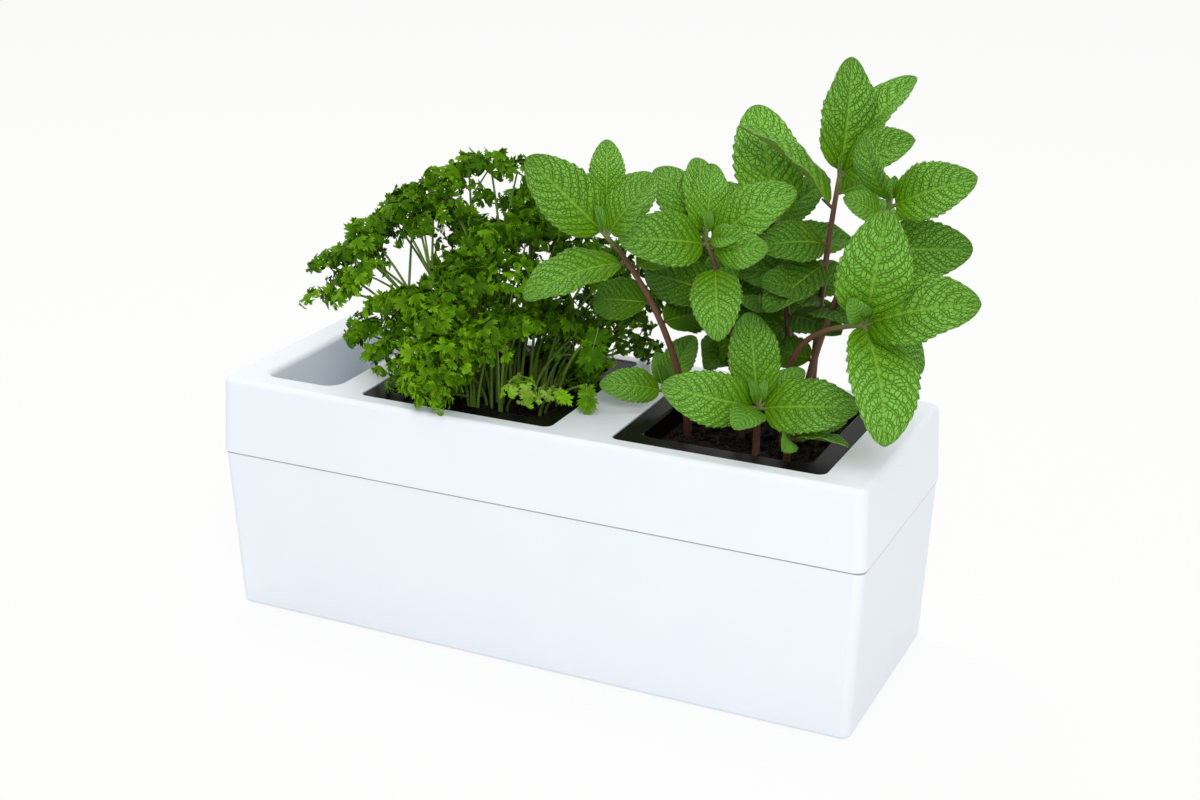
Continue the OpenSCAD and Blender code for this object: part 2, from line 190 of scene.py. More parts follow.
# %% Moulded plastic
CLOUD_SCALE, GRAIN_STRENGTH = 24.0, 0.25
grain = bpy.data.node_groups.new("moulded_grain", "ShaderNodeTree")
grain.interface.new_socket("Scale", in_out="INPUT", socket_type="NodeSocketFloat")
for label in ("Cloud", "Height"):
    grain.interface.new_socket(label, in_out="OUTPUT", socket_type="NodeSocketFloat")
grain_in = grain.nodes.new("NodeGroupInput")
grain_out = grain.nodes.new("NodeGroupOutput")
grain_place = object_place(grain)
grain.links.new(cloudy(grain, grain_place, CLOUD_SCALE, 3.0), grain_out.inputs["Cloud"])
grain.links.new(cloudy(grain, grain_place, grain_in.outputs["Scale"], 4.0), grain_out.inputs["Height"])


def shared(tree, group_tree):
    """Places a shared node group in a material."""
    group = tree.nodes.new("ShaderNodeGroup")
    group.node_tree = group_tree
    return group


def plastic(name, dark, light, rough_low, rough_high, scale, depth, **plain):
    """A plastic between two colours and two roughnesses, with grain of a scale and a depth."""
    made, tree, shader = material(name, **plain)
    group = shared(tree, grain)
    group.inputs["Scale"].default_value = scale
    cloud = group.outputs["Cloud"]
    paint(tree, shader, blend_colours(tree, cloud, dark, light))
    tree.links.new(between(tree, cloud, 0.3, 0.7, rough_low, rough_high), shader.inputs["Roughness"])
    bumpy(tree, shader, group.outputs["Height"], GRAIN_STRENGTH, depth)
    return made


white_plastic = plastic(
    "white_plastic", colour(229, 237, 247), colour(235, 242, 251), 0.30, 0.40, 900.0, 0.06 * MM)
black_plastic = plastic(
    "black_plastic", colour(8, 7, 6), colour(17, 14, 12), 0.24, 0.36, 700.0, 0.08 * MM,
    specular_ior_level=0.05)
print("plastics:", white_plastic.name, black_plastic.name)

# %% [markdown]
# ## Shaping by hand
# The mouldings are all rounded boxes with drafted sides. By hand that is a flat plate with its
# corners bevelled, whose face is then extruded, scaled and inset, one step after another. These
# helpers are those steps. An operator acts on all that is selected, so each starts by clearing
# the selection.

# %% Helpers for shaping
CORNER_STEPS, ROLL_STEPS = 8, 6


def alone(piece=None):
    """Leaves edit mode and selects one piece, or nothing."""
    if bpy.context.mode != "OBJECT":
        bpy.ops.object.mode_set(mode="OBJECT")
    bpy.ops.object.select_all(action="DESELECT")
    if piece:
        piece.select_set(True)
        bpy.context.view_layer.objects.active = piece


def plate(name, length, width, corner, x, z, down=False):
    """A flat plate with round corners, left in edit mode with its face selected."""
    alone()
    bpy.ops.mesh.primitive_plane_add(size=1, location=(x, 0, z))
    piece = bpy.context.object
    piece.name = name
    piece.scale = (length, width, 1)
    bpy.ops.object.transform_apply(location=True, rotation=False, scale=True)
    bpy.ops.object.mode_set(mode="EDIT")
    bpy.ops.mesh.select_all(action="SELECT")
    bpy.ops.mesh.bevel(offset=corner, segments=CORNER_STEPS, affect="VERTICES")
    bpy.ops.mesh.select_mode(type="FACE")
    bpy.ops.mesh.select_all(action="SELECT")
    if down:
        bpy.ops.mesh.flip_normals()
    return piece


def push(z, x=0.0, wide=1.0, deep=1.0):
    """Extrudes the selected face by z and scales it about the piece's upright axis."""
    bpy.ops.mesh.extrude_region_move(TRANSFORM_OT_translate={"value": (0, 0, z)})
    bpy.ops.transform.resize(value=(wide, deep, 1), center_override=(x, 0, 0))


def quarter_circle(radius, steps):
    """Steps round a quarter circle, each as a part that starts slowly and one that starts quickly."""
    for k in range(steps):
        a, b = math.pi / 2 * k / steps, math.pi / 2 * (k + 1) / steps
        yield radius * (math.cos(a) - math.cos(b)), radius * (math.sin(b) - math.sin(a))


def roll_in(radius):
    """Rounds the edge of the selected face inwards."""
    for inward, outward in quarter_circle(radius, ROLL_STEPS):
        bpy.ops.mesh.inset(thickness=inward, depth=outward)


# %% [markdown]
# ## Finishing a piece
# A moulding's edges are never quite sharp. Each piece ends with a small bevel on its edges and
# normals that follow the large faces, as modifiers that are then applied. Last it gets its
# material and the body it moves with, and the CAD node it stands for is hidden.


# %% Helpers for finishing
def pick_faces(piece, test):
    """Selects the faces that pass a test of their centre and normal, in edit mode."""
    bpy.ops.object.mode_set(mode="OBJECT")
    for face in piece.data.polygons:
        face.select = test(face.center, face.normal)
    for line in piece.data.edges:
        line.select = False
    for point in piece.data.vertices:
        point.select = False
    bpy.ops.object.mode_set(mode="EDIT")
    bpy.ops.mesh.select_mode(type="FACE")


def remove_faces(piece, test):
    pick_faces(piece, test)
    bpy.ops.mesh.delete(type="FACE")
    bpy.ops.object.mode_set(mode="OBJECT")


def apply_modifier(piece, kind, **settings):
    alone(piece)
    made = piece.modifiers.new(kind.title(), kind)
    for key, value in settings.items():
        setattr(made, key, value)
    bpy.ops.object.modifier_apply(modifier=made.name)


def soften(piece, width, angle=35):
    """Breaks the sharp edges and shades the rest smooth."""
    limit = math.radians(angle)
    apply_modifier(piece, "BEVEL", width=width, segments=2, limit_method="ANGLE", angle_limit=limit)
    alone(piece)
    bpy.ops.object.shade_smooth_by_angle(angle=math.radians(40))
    apply_modifier(piece, "WEIGHTED_NORMAL", keep_sharp=True, weight=80)


def finish_piece(piece, body, slot, *nodes, coats=()):
    """Gives a piece its materials and body, and hides the CAD nodes that it stands for."""
    for coat in coats:
        piece.data.materials.append(coat)
    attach(piece, body)
    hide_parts(*nodes)
    print(piece.name, "has", len(piece.data.polygons), "faces")
    return piece


# %% [markdown]
# ## The water tub
# The lower half is a plain tapered tub, open at the top. It could be one box cut out of another,
# but then both have to agree on the wall and the taper. So only its outside is drawn, from the rim
# downwards, with small insets of the bottom face that round the lower edge, and a Solidify
# modifier gives it its wall.

# %% The water tub
WALL = 2.5 * MM
TUB_TAPER = 3 * MM
TUB_CORNER = 5 * MM
TUB_EDGE = 2.5 * MM
tub_low, tub_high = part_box("reservoir_tub")
tub_length, tub_width = tub_high.x - tub_low.x, tub_high.y - tub_low.y

tub = plate("reservoir_tub_shell", tub_length, tub_width, TUB_CORNER, 0, tub_high.z, down=True)
push(TUB_EDGE - tub_high.z, 0, 1 - 2 * TUB_TAPER / tub_length, 1 - 2 * TUB_TAPER / tub_width)
roll_in(TUB_EDGE)
remove_faces(tub, lambda c, n: abs(c.z - tub_high.z) < 1e-5)
apply_modifier(tub, "SOLIDIFY", thickness=WALL, offset=-1, use_even_offset=True, use_rim=True)
soften(tub, 0.4 * MM)
finish_piece(tub, "tub", "white_plastic", "reservoir_tub", coats=[white_plastic])

# %% [markdown]
# ## The cover
# The upper half is the same kind of box, drawn from the seam upwards, so that the insets round
# the edge of its deck. A bevel on a finished box would round the seam's edge as well, which has to
# stay crisp. It is an open skin here, and gets what lies below the deck afterwards.

# %% The cover
COVER_CORNER = 6 * MM
COVER_EDGE = 3 * MM
COVER_DRAFT = 1.6 * MM
SEAM_GAP = 0.3 * MM
cover_low, cover_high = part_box("top_cover")
deck = cover_high.z
seam = tub_high.z + SEAM_GAP
cover_length, cover_width = cover_high.x - cover_low.x, cover_high.y - cover_low.y

cover = plate("top_cover_shell", cover_length, cover_width, COVER_CORNER, 0, seam)
push(deck - COVER_EDGE - seam, 0, 1 - 2 * COVER_DRAFT / cover_length, 1 - 2 * COVER_DRAFT / cover_width)
roll_in(COVER_EDGE)
remove_faces(cover, lambda c, n: abs(c.z - seam) < 1e-5)
apply_modifier(cover, "SOLIDIFY", thickness=WALL, offset=-1, use_even_offset=True, use_rim=True)
print("cover skin:", len(cover.data.polygons), "faces")

# %% [markdown]
# ## The cover's lip
# Inside the cover a shelf joins its wall to a rib that drops inside the tub's rim, so the cover
# can't slip off sideways. A mould maker thinks of such things as blocks and cores. Here too they
# are rounded blocks, joined to the cover or cut from it with Boolean modifiers, because cutting
# openings into a many-sided face by hand is slow.

# %% The cover's lip
LIP_DROP, LIP_GAP, LIP_DRAFT, SHELF_RISE = 8 * MM, 0.5 * MM, MM, 0.4 * MM
TAPER_ROOM = MM
# How far a block runs into or past the surface that it meets.
OVERLAP = MM


def block(name, length, width, corner, x, start, end, wide=1.0, deep=1.0):
    """A solid with round corners between two heights, scaled towards its end."""
    tool = plate(name, length, width, corner, x, start, down=end < start)
    push(end - start, x, wide, deep)
    alone()
    return tool


def combine(piece, tool, operation):
    """Joins a tool solid to a piece, or cuts it away, and removes the tool."""
    apply_modifier(piece, "BOOLEAN", object=tool, operation=operation, solver="EXACT")
    bpy.data.objects.remove(tool)


lip_length = tub_length - 2 * (WALL + LIP_GAP) - TAPER_ROOM
lip_width = tub_width - 2 * (WALL + LIP_GAP) - TAPER_ROOM
lip_corner = TUB_CORNER - WALL + TAPER_ROOM
foot_length, foot_width = lip_length - 2 * LIP_DRAFT, lip_width - 2 * LIP_DRAFT
shelf_low, lip_low = tub_high.z + SHELF_RISE, tub_high.z - LIP_DROP

shelf = block(
    "shelf", cover_length - WALL, cover_width - WALL, COVER_CORNER, 0, shelf_low, shelf_low + WALL)
combine(cover, shelf, "UNION")
lip = block(
    "lip", foot_length, foot_width, lip_corner, 0, lip_low, shelf_low + OVERLAP,
    lip_length / foot_length, lip_width / foot_width)
combine(cover, lip, "UNION")
core = block(
    "core", foot_length - 2 * WALL, foot_width - 2 * WALL, lip_corner, 0,
    lip_low - OVERLAP, shelf_low + WALL + OVERLAP)
combine(cover, core, "DIFFERENCE")
print("cover with its lip:", len(cover.data.polygons), "faces")

# %% [markdown]
# ## Under the deck
# Below the deck hang a chute for the water and, round each pot, a seat whose ledge carries the
# pot's flange. All three are joined on as solid blocks. What is open in them is cut afterwards,
# so that each cut goes cleanly through deck and block at once.

# %% The chute and the seats
WELL_LENGTH, WELL_WIDTH, WELL_CORNER, WELL_MARGIN = 39.5 * MM, 90 * MM, 7 * MM, 18.5 * MM
CHUTE_TAPER = (0.955, 0.98)
OPENING_GAP, LEDGE_GAP, LEDGE, SEAT_CORNER = 0.5 * MM, 0.3 * MM, 2 * MM, 5 * MM
FLANGE = 2 * MM
pots = {name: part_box(name + "_pot") for name in ("parsley", "mint")}
pot_x = {name: (low.x + high.x) / 2 for name, (low, high) in pots.items()}
opening = pots["mint"][1].x - pots["mint"][0].x + 2 * OPENING_GAP
ledge_top = pots["mint"][1].z - FLANGE - LEDGE_GAP
well_x = cover_low.x + WELL_MARGIN + WELL_LENGTH / 2
well_foot = cover_low.z

chute = block(
    "chute", WELL_LENGTH + 2 * WALL, WELL_WIDTH + 2 * WALL, WELL_CORNER + WALL, well_x,
    deck - OVERLAP, well_foot, *CHUTE_TAPER)
combine(cover, chute, "UNION")
for x in pot_x.values():
    seat = block(
        "seat", opening + 2 * WALL, opening + 2 * WALL, SEAT_CORNER, x, deck - OVERLAP, ledge_top - LEDGE)
    combine(cover, seat, "UNION")
print("chute at", round(well_x / MM, 1), "mm and seats at", [round(x / MM, 1) for x in pot_x.values()])

# %% [markdown]
# ## The pot openings
# Each pot hangs in a square recess that its flange fills, and its body goes down through a
# smaller hole, so that a ledge is left all round. A ledge could be modelled as a frame and joined
# on, but two cuts of different widths leave it by themselves, with no seam.

# %% The pot openings
RECESS_CORNER, PASSAGE_CORNER = 4 * MM, 6 * MM
FLANGE_WIDE = 10 * MM
# How much wider the hole in the ledge is than the pot's mouth.
POT_ROOM = 7 * MM
ledge_hole = opening - 2 * OPENING_GAP - 2 * FLANGE_WIDE + POT_ROOM

for x in pot_x.values():
    recess = block("recess", opening, opening, RECESS_CORNER, x, deck + 2 * OVERLAP, ledge_top)
    combine(cover, recess, "DIFFERENCE")
    passage = block("passage", ledge_hole, ledge_hole, PASSAGE_CORNER, x, deck, seam)
    combine(cover, passage, "DIFFERENCE")
print("recess", round(opening / MM, 1), "mm, hole", round(ledge_hole / MM, 1), "mm")

# %% [markdown]
# ## The filling well
# Water is poured into the well at the left end, whose mouth is rolled so that no edge catches the
# can. The cutting block is drawn like the mouth's inside: down to the deck, round a quarter
# circle in small insets, and then down the drafted walls.

# %% The filling well
WELL_ROLL, WELL_DRAFT = 3 * MM, MM
mouth = plate(
    "mouth", WELL_LENGTH + 2 * WELL_ROLL, WELL_WIDTH + 2 * WELL_ROLL, WELL_CORNER + WELL_ROLL, well_x,
    deck + 2 * OVERLAP, down=True)
push(-2 * OVERLAP)
for down, inward in quarter_circle(WELL_ROLL, ROLL_STEPS):
    bpy.ops.mesh.inset(thickness=inward, depth=down)
push(well_foot - OVERLAP - deck + WELL_ROLL, well_x,
     1 - 2 * WELL_DRAFT / WELL_LENGTH, 1 - 2 * WELL_DRAFT / WELL_WIDTH)
alone()
combine(cover, mouth, "DIFFERENCE")
soften(cover, 0.35 * MM, angle=50)
finish_piece(cover, "cover", "white_plastic", "top_cover", coats=[white_plastic])

# %% [markdown]
# ## Painted shade and dust in the seam
# A thin grey line runs round the planter where the cover meets the tub. It is painted shade under
# the cover's overhang, together with the dust and splashes that collect along that joint, on the
# tub's rim and the cover's lower edge. It is painted into the plastic's colour: a narrow band of
# height, a little lower on the two ends, and kept to the outer faces so that the well and the
# openings stay clean.

# %% Painted shade and dust in the seam
# The band's middle lies a little below the rim. It is full within one distance of it and gone at another.
DUST_AND_SHADE_BELOW, DUST_AND_SHADE_FULL, DUST_AND_SHADE_FADE = 0.15 * MM, 0.3 * MM, 0.55 * MM
DUST_AND_SHADE_REACH, DUST_AND_SHADE_DROP = 4 * MM, 0.75 * MM
DUST_AND_SHADE_STRENGTH = 0.75
tree = white_plastic.node_tree
shader = tree.nodes["Principled BSDF"]
spot = tree.nodes.new("ShaderNodeSeparateXYZ")
tree.links.new(object_place(tree), spot.inputs[0])
past_end = maths(tree, "SUBTRACT", maths(tree, "ABSOLUTE", spot.outputs["X"]), tub_high.x - DUST_AND_SHADE_REACH)
past_side = maths(tree, "SUBTRACT", maths(tree, "ABSOLUTE", spot.outputs["Y"]), tub_high.y - DUST_AND_SHADE_REACH)
outside = maths(tree, "GREATER_THAN", maths(tree, "MAXIMUM", past_end, past_side), 0.0)
on_end = between(tree, maths(tree, "SUBTRACT", past_end, past_side), -TUB_CORNER, TUB_CORNER)
seam_line = maths(tree, "MULTIPLY_ADD", on_end, -DUST_AND_SHADE_DROP, tub_high.z - DUST_AND_SHADE_BELOW)
off_seam = maths(tree, "ABSOLUTE", maths(tree, "SUBTRACT", spot.outputs["Z"], seam_line))
dust_and_shade_band = between(tree, off_seam, DUST_AND_SHADE_FADE, DUST_AND_SHADE_FULL, 0.0, DUST_AND_SHADE_STRENGTH)
clean = shader.inputs["Base Color"].links[0].from_socket
# The band paints the shade under the cover's overhang, and some dust, into the plastic's colour.
paint(tree, shader, blend_colours(tree, maths(tree, "MULTIPLY", outside, dust_and_shade_band), clean, colour(120, 112, 106)))
print("dust within", round(DUST_AND_SHADE_FADE / MM, 2), "mm of the seam")

# %% [markdown]
# ## The pots
# Each pot is one thin black moulding: a flat flange, tapered walls and a floor. A box with its
# inside cut out would lack the round bends between them. So the upper surface is drawn as a sheet:
# the flange is bridged between two outlines, and the inner outline is then extruded down, step by
# step, round the mouth, along the walls and round the floor.


# %% Helpers for the pots
def pick_edges(piece, test):
    """Selects the edges whose two ends both pass a test, in edit mode."""
    bpy.ops.object.mode_set(mode="OBJECT")
    points = piece.data.vertices
    for face in piece.data.polygons:
        face.select = False
    for point in points:
        point.select = False
    for line in piece.data.edges:
        line.select = all(test(points[i].co) for i in line.vertices)
    bpy.ops.object.mode_set(mode="EDIT")
    bpy.ops.mesh.select_mode(type="EDGE")


def draw_in(x, z, width, target):
    """Extrudes the selected outline by z and scales it from one width to another."""
    bpy.ops.mesh.extrude_region_move(TRANSFORM_OT_translate={"value": (0, 0, z)})
    bpy.ops.transform.resize(value=(target / width, target / width, 1), center_override=(x, 0, 0))
    return target


# %% [markdown]
# ## The skin of a pot
# The sheet is the side that touches the mix. A mould leaves no sharp corner, so the mouth and the
# floor turn in quarter circles of a few steps, and the walls between them are drawn in one.

# %% The skin of a pot
POT_WALL, POT_TAPER = 1.6 * MM, 9 * MM
POT_CORNER, FLANGE_CORNER = 6 * MM, 3.6 * MM
MOUTH_ROLL, FLOOR_ROLL, POT_STEPS = 1.2 * MM, 3 * MM, 4


def pot_skin(name):
    """A pot's flange, mouth, walls and floor, as an open sheet."""
    low, high = pots[name]
    x, side = pot_x[name], high.x - low.x
    width = side - 2 * FLANGE_WIDE + 2 * MOUTH_ROLL
    pot = plate(name + "_pot_shell", side, side, FLANGE_CORNER, x, high.z)
    bpy.ops.mesh.primitive_plane_add(size=width, location=(x, 0, high.z))
    bpy.ops.mesh.bevel(offset=POT_CORNER, segments=CORNER_STEPS, affect="VERTICES")
    bpy.ops.mesh.select_all(action="SELECT")
    bpy.ops.mesh.delete(type="ONLY_FACE")
    bpy.ops.mesh.select_mode(type="EDGE")
    bpy.ops.mesh.select_all(action="SELECT")
    bpy.ops.mesh.bridge_edge_loops()
    pick_edges(pot, lambda c: max(abs(c.x - x), abs(c.y)) < width / 2 + 0.1 * MM)
    for down, inward in quarter_circle(MOUTH_ROLL, POT_STEPS):
        width = draw_in(x, -down, width, width - 2 * inward)
    walls = high.z - MOUTH_ROLL - low.z - POT_WALL - FLOOR_ROLL
    width = draw_in(x, -walls, width, width - 2 * POT_TAPER)
    for inward, down in quarter_circle(FLOOR_ROLL, POT_STEPS):
        width = draw_in(x, -down, width, width - 2 * inward)
    bpy.ops.mesh.edge_face_add()
    bpy.ops.mesh.select_all(action="SELECT")
    bpy.ops.mesh.normals_make_consistent(inside=False)
    alone(pot)
    if pot.data.polygons[0].normal.z < 0:
        pot.data.flip_normals()
    return pot


# %% [markdown]
# ## Slots and drain holes
# The floor of each pot has two slots for its wick and five holes that let spare water out. The
# sheet first gets its thickness from a Solidify modifier, and the holes are then punched through
# it with plain boxes and cylinders, which never show themselves.

# %% Both pots
WICK_WIDE, WICK_THICK, WICK_SPAN = 24 * MM, 3 * MM, 30 * MM
SLOT_GAP, DRAIN, PUNCH_DEPTH = 0.3 * MM, 6 * MM, 4 * MM
drain_reach = 0.7 * WICK_SPAN
drains = [(0, 0)] + [(dx, dy) for dx in (-drain_reach, drain_reach) for dy in (-drain_reach, drain_reach)]
slot_size = (WICK_THICK / 2 + SLOT_GAP, WICK_WIDE / 2 + SLOT_GAP, PUNCH_DEPTH)


def punch(piece, make, place, size):
    """Cuts a hole with a primitive placed and scaled as a tool."""
    alone()
    make(location=place)
    tool = bpy.context.object
    tool.scale = size
    bpy.ops.object.transform_apply(location=True, rotation=False, scale=True)
    combine(piece, tool, "DIFFERENCE")


for name in pots:
    pot, x, foot = pot_skin(name), pot_x[name], pots[name][0].z
    apply_modifier(pot, "SOLIDIFY", thickness=POT_WALL, offset=-1, use_even_offset=True, use_rim=True)
    for dx in (-WICK_SPAN / 2, WICK_SPAN / 2):
        punch(pot, bpy.ops.mesh.primitive_cube_add, (x + dx, 0, foot), slot_size)
    for dx, dy in drains:
        drain_size = (DRAIN / 2, DRAIN / 2, PUNCH_DEPTH)
        punch(pot, bpy.ops.mesh.primitive_cylinder_add, (x + dx, dy, foot), drain_size)
    soften(pot, 0.3 * MM)
    finish_piece(pot, name, "black_plastic", name + "_pot", coats=[black_plastic])

# %% [markdown]
# ## Felt
# The wicks are pressed felt: a dull, pale mat of fibres that lie every way. Real fibres would be
# far too many, so fine noise, squeezed along the height, gives their colour and their nap, and a
# coarser noise makes the mat uneven.

# %% Felt
felt, tree, shader = material("wick_felt", roughness=0.95, sheen_weight=0.4)
place = object_place(tree)
fibre = streaky(tree, place, 3, 1400.0, 6.0)
lumps = cloudy(tree, place, 350.0, 3.0)
paint(tree, shader, blend_colours(tree, fibre, colour(150, 144, 130), colour(226, 220, 206)))
bumpy(tree, shader, maths(tree, "ADD", fibre, lumps), 0.6, 0.6 * MM)
print("felt:", felt.name)

# %% [markdown]
# ## The wicks
# A strip of felt lies on the floor of each pot and hangs through the two slots into the water.
# Its line, seen from the side, is a chain of points with two soft bends.

# %% The line of a wick
WICK_BEND, BEND_STEPS = 3 * MM, 5
QUARTERS = (0.25, 0.5, 0.75)


def wick_line(name):
    """The strip's middle line, from one end to the other, as distance from the pot's middle and height."""
    low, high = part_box(name + "_wick")
    foot, top, half = low.z, high.z - WICK_THICK / 2, WICK_SPAN / 2
    line = [(-half, foot)]
    line += [(-half, foot + (top - WICK_BEND - foot) * t) for t in (*QUARTERS, 1)]
    for a in np.linspace(0, math.pi / 2, BEND_STEPS)[1:]:
        line.append((-half + WICK_BEND * (1 - math.cos(a)), top - WICK_BEND + WICK_BEND * math.sin(a)))
    mirrored = [(-across, height) for across, height in reversed(line)]
    line += [(-half + WICK_BEND + (2 * half - 2 * WICK_BEND) * t, top) for t in QUARTERS]
    return line + mirrored


# %% [markdown]
# ## From the line to the strip
# A box could be bent with a modifier, but its ends would move. So the chain is extruded to the
# strip's width in a few steps and thickened, as a strip of real felt would be cut and bent.

# %% The wicks
WICK_STRIPS = 6


def make_wick(name):
    line = wick_line(name)
    edges = [(i, i + 1) for i in range(len(line) - 1)]
    mesh = bpy.data.meshes.new(name + "_wick_felt")
    mesh.from_pydata([(pot_x[name] + u, -WICK_WIDE / 2, height) for u, height in line], edges, [])
    wick = bpy.data.objects.new(name + "_wick_felt", mesh)
    bpy.context.scene.collection.objects.link(wick)
    alone(wick)
    bpy.ops.object.mode_set(mode="EDIT")
    bpy.ops.mesh.select_mode(type="EDGE")
    bpy.ops.mesh.select_all(action="SELECT")
    for k in range(WICK_STRIPS):
        bpy.ops.mesh.extrude_region_move(TRANSFORM_OT_translate={"value": (0, WICK_WIDE / WICK_STRIPS, 0)})
    bpy.ops.mesh.select_all(action="SELECT")
    bpy.ops.mesh.normals_make_consistent(inside=False)
    alone(wick)
    apply_modifier(wick, "SOLIDIFY", thickness=WICK_THICK * 0.9, offset=0, use_even_offset=True)
    apply_modifier(wick, "BEVEL", width=0.6 * MM, segments=2, limit_method="ANGLE")
    alone(wick)
    bpy.ops.object.shade_smooth_by_angle(angle=math.radians(50))
    finish_piece(wick, name, "felt", name + "_wick", coats=[felt])


for name in pots:
    make_wick(name)

# %% [markdown]
# ## Peat
# Moist peat is nearly black and crumbly, with a few paler bits of bark and fibre. Noise gives the
# crumbs two browns and their height, and the middles of scattered cells give the paler bits.

# %% Peat
peat, tree, shader = material("peat", roughness=0.95, specular_ior_level=0.2)
place = object_place(tree)
crumb = cloudy(tree, place, 420.0, 5.0)
chip = between(tree, add(tree, "ShaderNodeTexVoronoi", place, None, 260.0), 0.12, 0.05, 0.0, 0.5)
brown = blend_colours(tree, between(tree, crumb, 0.35, 0.7), colour(10, 8, 7), colour(44, 33, 26))
paint(tree, shader, blend_colours(tree, chip, brown, colour(96, 74, 56)))
bumpy(tree, shader, crumb, 0.8, 1.5 * MM)
print("peat:", peat.name)

# %% [markdown]
# ## The potting mix
# The mix fills each pot nearly to its flange. A grid is extruded down along the pot's taper, so
# that its top has points enough to be stirred with noise, and a channel is cut below it where the
# wick lies across the floor.

# %% The block of mix
MIX_GRID = 56
# How far the mix is stirred: the height and the scale of large and of small lumps, and how far it sinks.
LARGE_LUMPS, SMALL_LUMPS, MIX_SINK = (1.6, 90), (0.9, 300), 0.8


def stir(point, edge):
    """How far a point of the mix is lifted, less and less towards the pot's wall."""
    lumps = noise.noise(point * LARGE_LUMPS[1]) * LARGE_LUMPS[0]
    lumps += noise.noise(point * SMALL_LUMPS[1]) * SMALL_LUMPS[0]
    return (lumps * (1 - edge ** 8) - MIX_SINK) * MM


def mix_block(name):
    low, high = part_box(name + "_mix")
    x, side, depth = pot_x[name], high.x - low.x, high.z - low.z
    taper = 1 - 2 * POT_TAPER * depth / (pots[name][1].z - pots[name][0].z) / side
    alone()
    bpy.ops.mesh.primitive_grid_add(
        x_subdivisions=MIX_GRID, y_subdivisions=MIX_GRID, size=side, location=(x, 0, high.z))
    mix = bpy.context.object
    mix.name = name + "_mix_block"
    bpy.ops.object.transform_apply(location=True, rotation=False, scale=True)
    bpy.ops.object.mode_set(mode="EDIT")
    bpy.ops.mesh.select_all(action="SELECT")
    bpy.ops.mesh.flip_normals()
    push(-depth, x, taper, taper)
    alone(mix)
    for point in mix.data.vertices:
        if point.co.z > high.z - 1e-5:
            point.co.z += stir(point.co, max(abs(point.co.x - x), abs(point.co.y)) / (side / 2))
    channel = (WICK_SPAN / 2 + WICK_THICK / 2 + SLOT_GAP, WICK_WIDE / 2 + SLOT_GAP, 5 * MM)
    channel_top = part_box(name + "_wick")[1].z + SLOT_GAP
    punch(mix, bpy.ops.mesh.primitive_cube_add, (x, 0, channel_top - channel[2]), channel)
    return mix


# %% [markdown]
# ## Loose crumbs
# Loose crumbs lie on the mix. One twenty-sided ball is the pattern for them all, because there are
# hundreds, and each copy gets its own place, size and lumps from a seeded random generator.

# %% Loose crumbs
CRUMBS = 420
CRUMB_SPREAD, CRUMB_SIZE = 0.46, (0.6, 2.1)
rng = np.random.default_rng(11)
alone()
bpy.ops.mesh.primitive_ico_sphere_add(subdivisions=1, radius=1)
ball = bpy.context.object
ball_points = np.array([v.co for v in ball.data.vertices])
ball_faces = [tuple(f.vertices) for f in ball.data.polygons]
bpy.data.objects.remove(ball)


def strew_crumbs(x, side, height):
    """Crumbs over a square of the given side and height, as one object."""
    points, faces = [], []
    for k in range(CRUMBS):
        at = np.array([x, 0, height]) + np.append(rng.uniform(-CRUMB_SPREAD, CRUMB_SPREAD, 2) * side, 0)
        size = rng.uniform(*CRUMB_SIZE) * MM * rng.uniform(0.5, 1.2, 3)
        faces += [tuple(i + len(points) for i in face) for face in ball_faces]
        points += list(at + ball_points * rng.uniform(0.75, 1.2, (len(ball_points), 1)) * size)
    mesh = bpy.data.meshes.new("crumbs")
    mesh.from_pydata([tuple(p) for p in points], [], faces)
    crumbs = bpy.data.objects.new("crumbs", mesh)
    bpy.context.scene.collection.objects.link(crumbs)
    return crumbs


for name in pots:
    mix, (low, high) = mix_block(name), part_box(name + "_mix")
    crumbs = strew_crumbs(pot_x[name], high.x - low.x, high.z + 0.2 * MM)
    alone(mix)
    crumbs.select_set(True)
    bpy.ops.object.join()
    bpy.ops.object.shade_smooth_by_angle(angle=math.radians(60))
    finish_piece(mix, name, "potting_mix", name + "_mix", coats=[peat])

# %% [markdown]
# ## The veins of a mint leaf
# A mint leaf is puckered: its skin swells between a net of sunken veins. The leaf's own UV map
# runs across it and along it, so the midrib, the side veins and the fine net are all drawn from
# the same two numbers, in one group that both faces of the leaf use. The side veins come first:
# they leave the midrib at a slant and arch towards the tip.

# %% Midrib and side veins
SIDE_VEINS = 9.0
SIDE_VEIN_RISE, SIDE_VEIN_ARCH = 0.18, 0.14
VEIN_SWAY = 0.06
veins = bpy.data.node_groups.new("mint_veins", "ShaderNodeTree")
leaf_uv = add(veins, "ShaderNodeUVMap", uv_map="UVMap")
split = veins.nodes.new("ShaderNodeSeparateXYZ")
veins.links.new(leaf_uv, split.inputs[0])
across = maths(veins, "ABSOLUTE", maths(veins, "MULTIPLY_ADD", split.outputs["X"], 2.0, -1.0))
along = split.outputs["Y"]
sway = maths(veins, "MULTIPLY_ADD", cloudy(veins, leaf_uv, 7.0, 3.0), VEIN_SWAY, -VEIN_SWAY / 2)
arch = maths(veins, "MULTIPLY_ADD", across, SIDE_VEIN_ARCH, SIDE_VEIN_RISE)
level = maths(veins, "SUBTRACT", along, maths(veins, "MULTIPLY", arch, across))
slant = maths(veins, "ADD", level, sway)
off_vein = maths(veins, "PINGPONG", maths(veins, "MULTIPLY", slant, SIDE_VEINS), 0.5)
print("side veins on each half:", SIDE_VEINS)

# %% [markdown]
# ## The net between the veins
# The small veins divide the skin into cells. A Voronoi pattern gives such cells, with the distance
# to their edges. It is laid along and across the side veins, twice as fine as they are, so the
# cells line up with them, and it starts afresh on each half of the leaf.

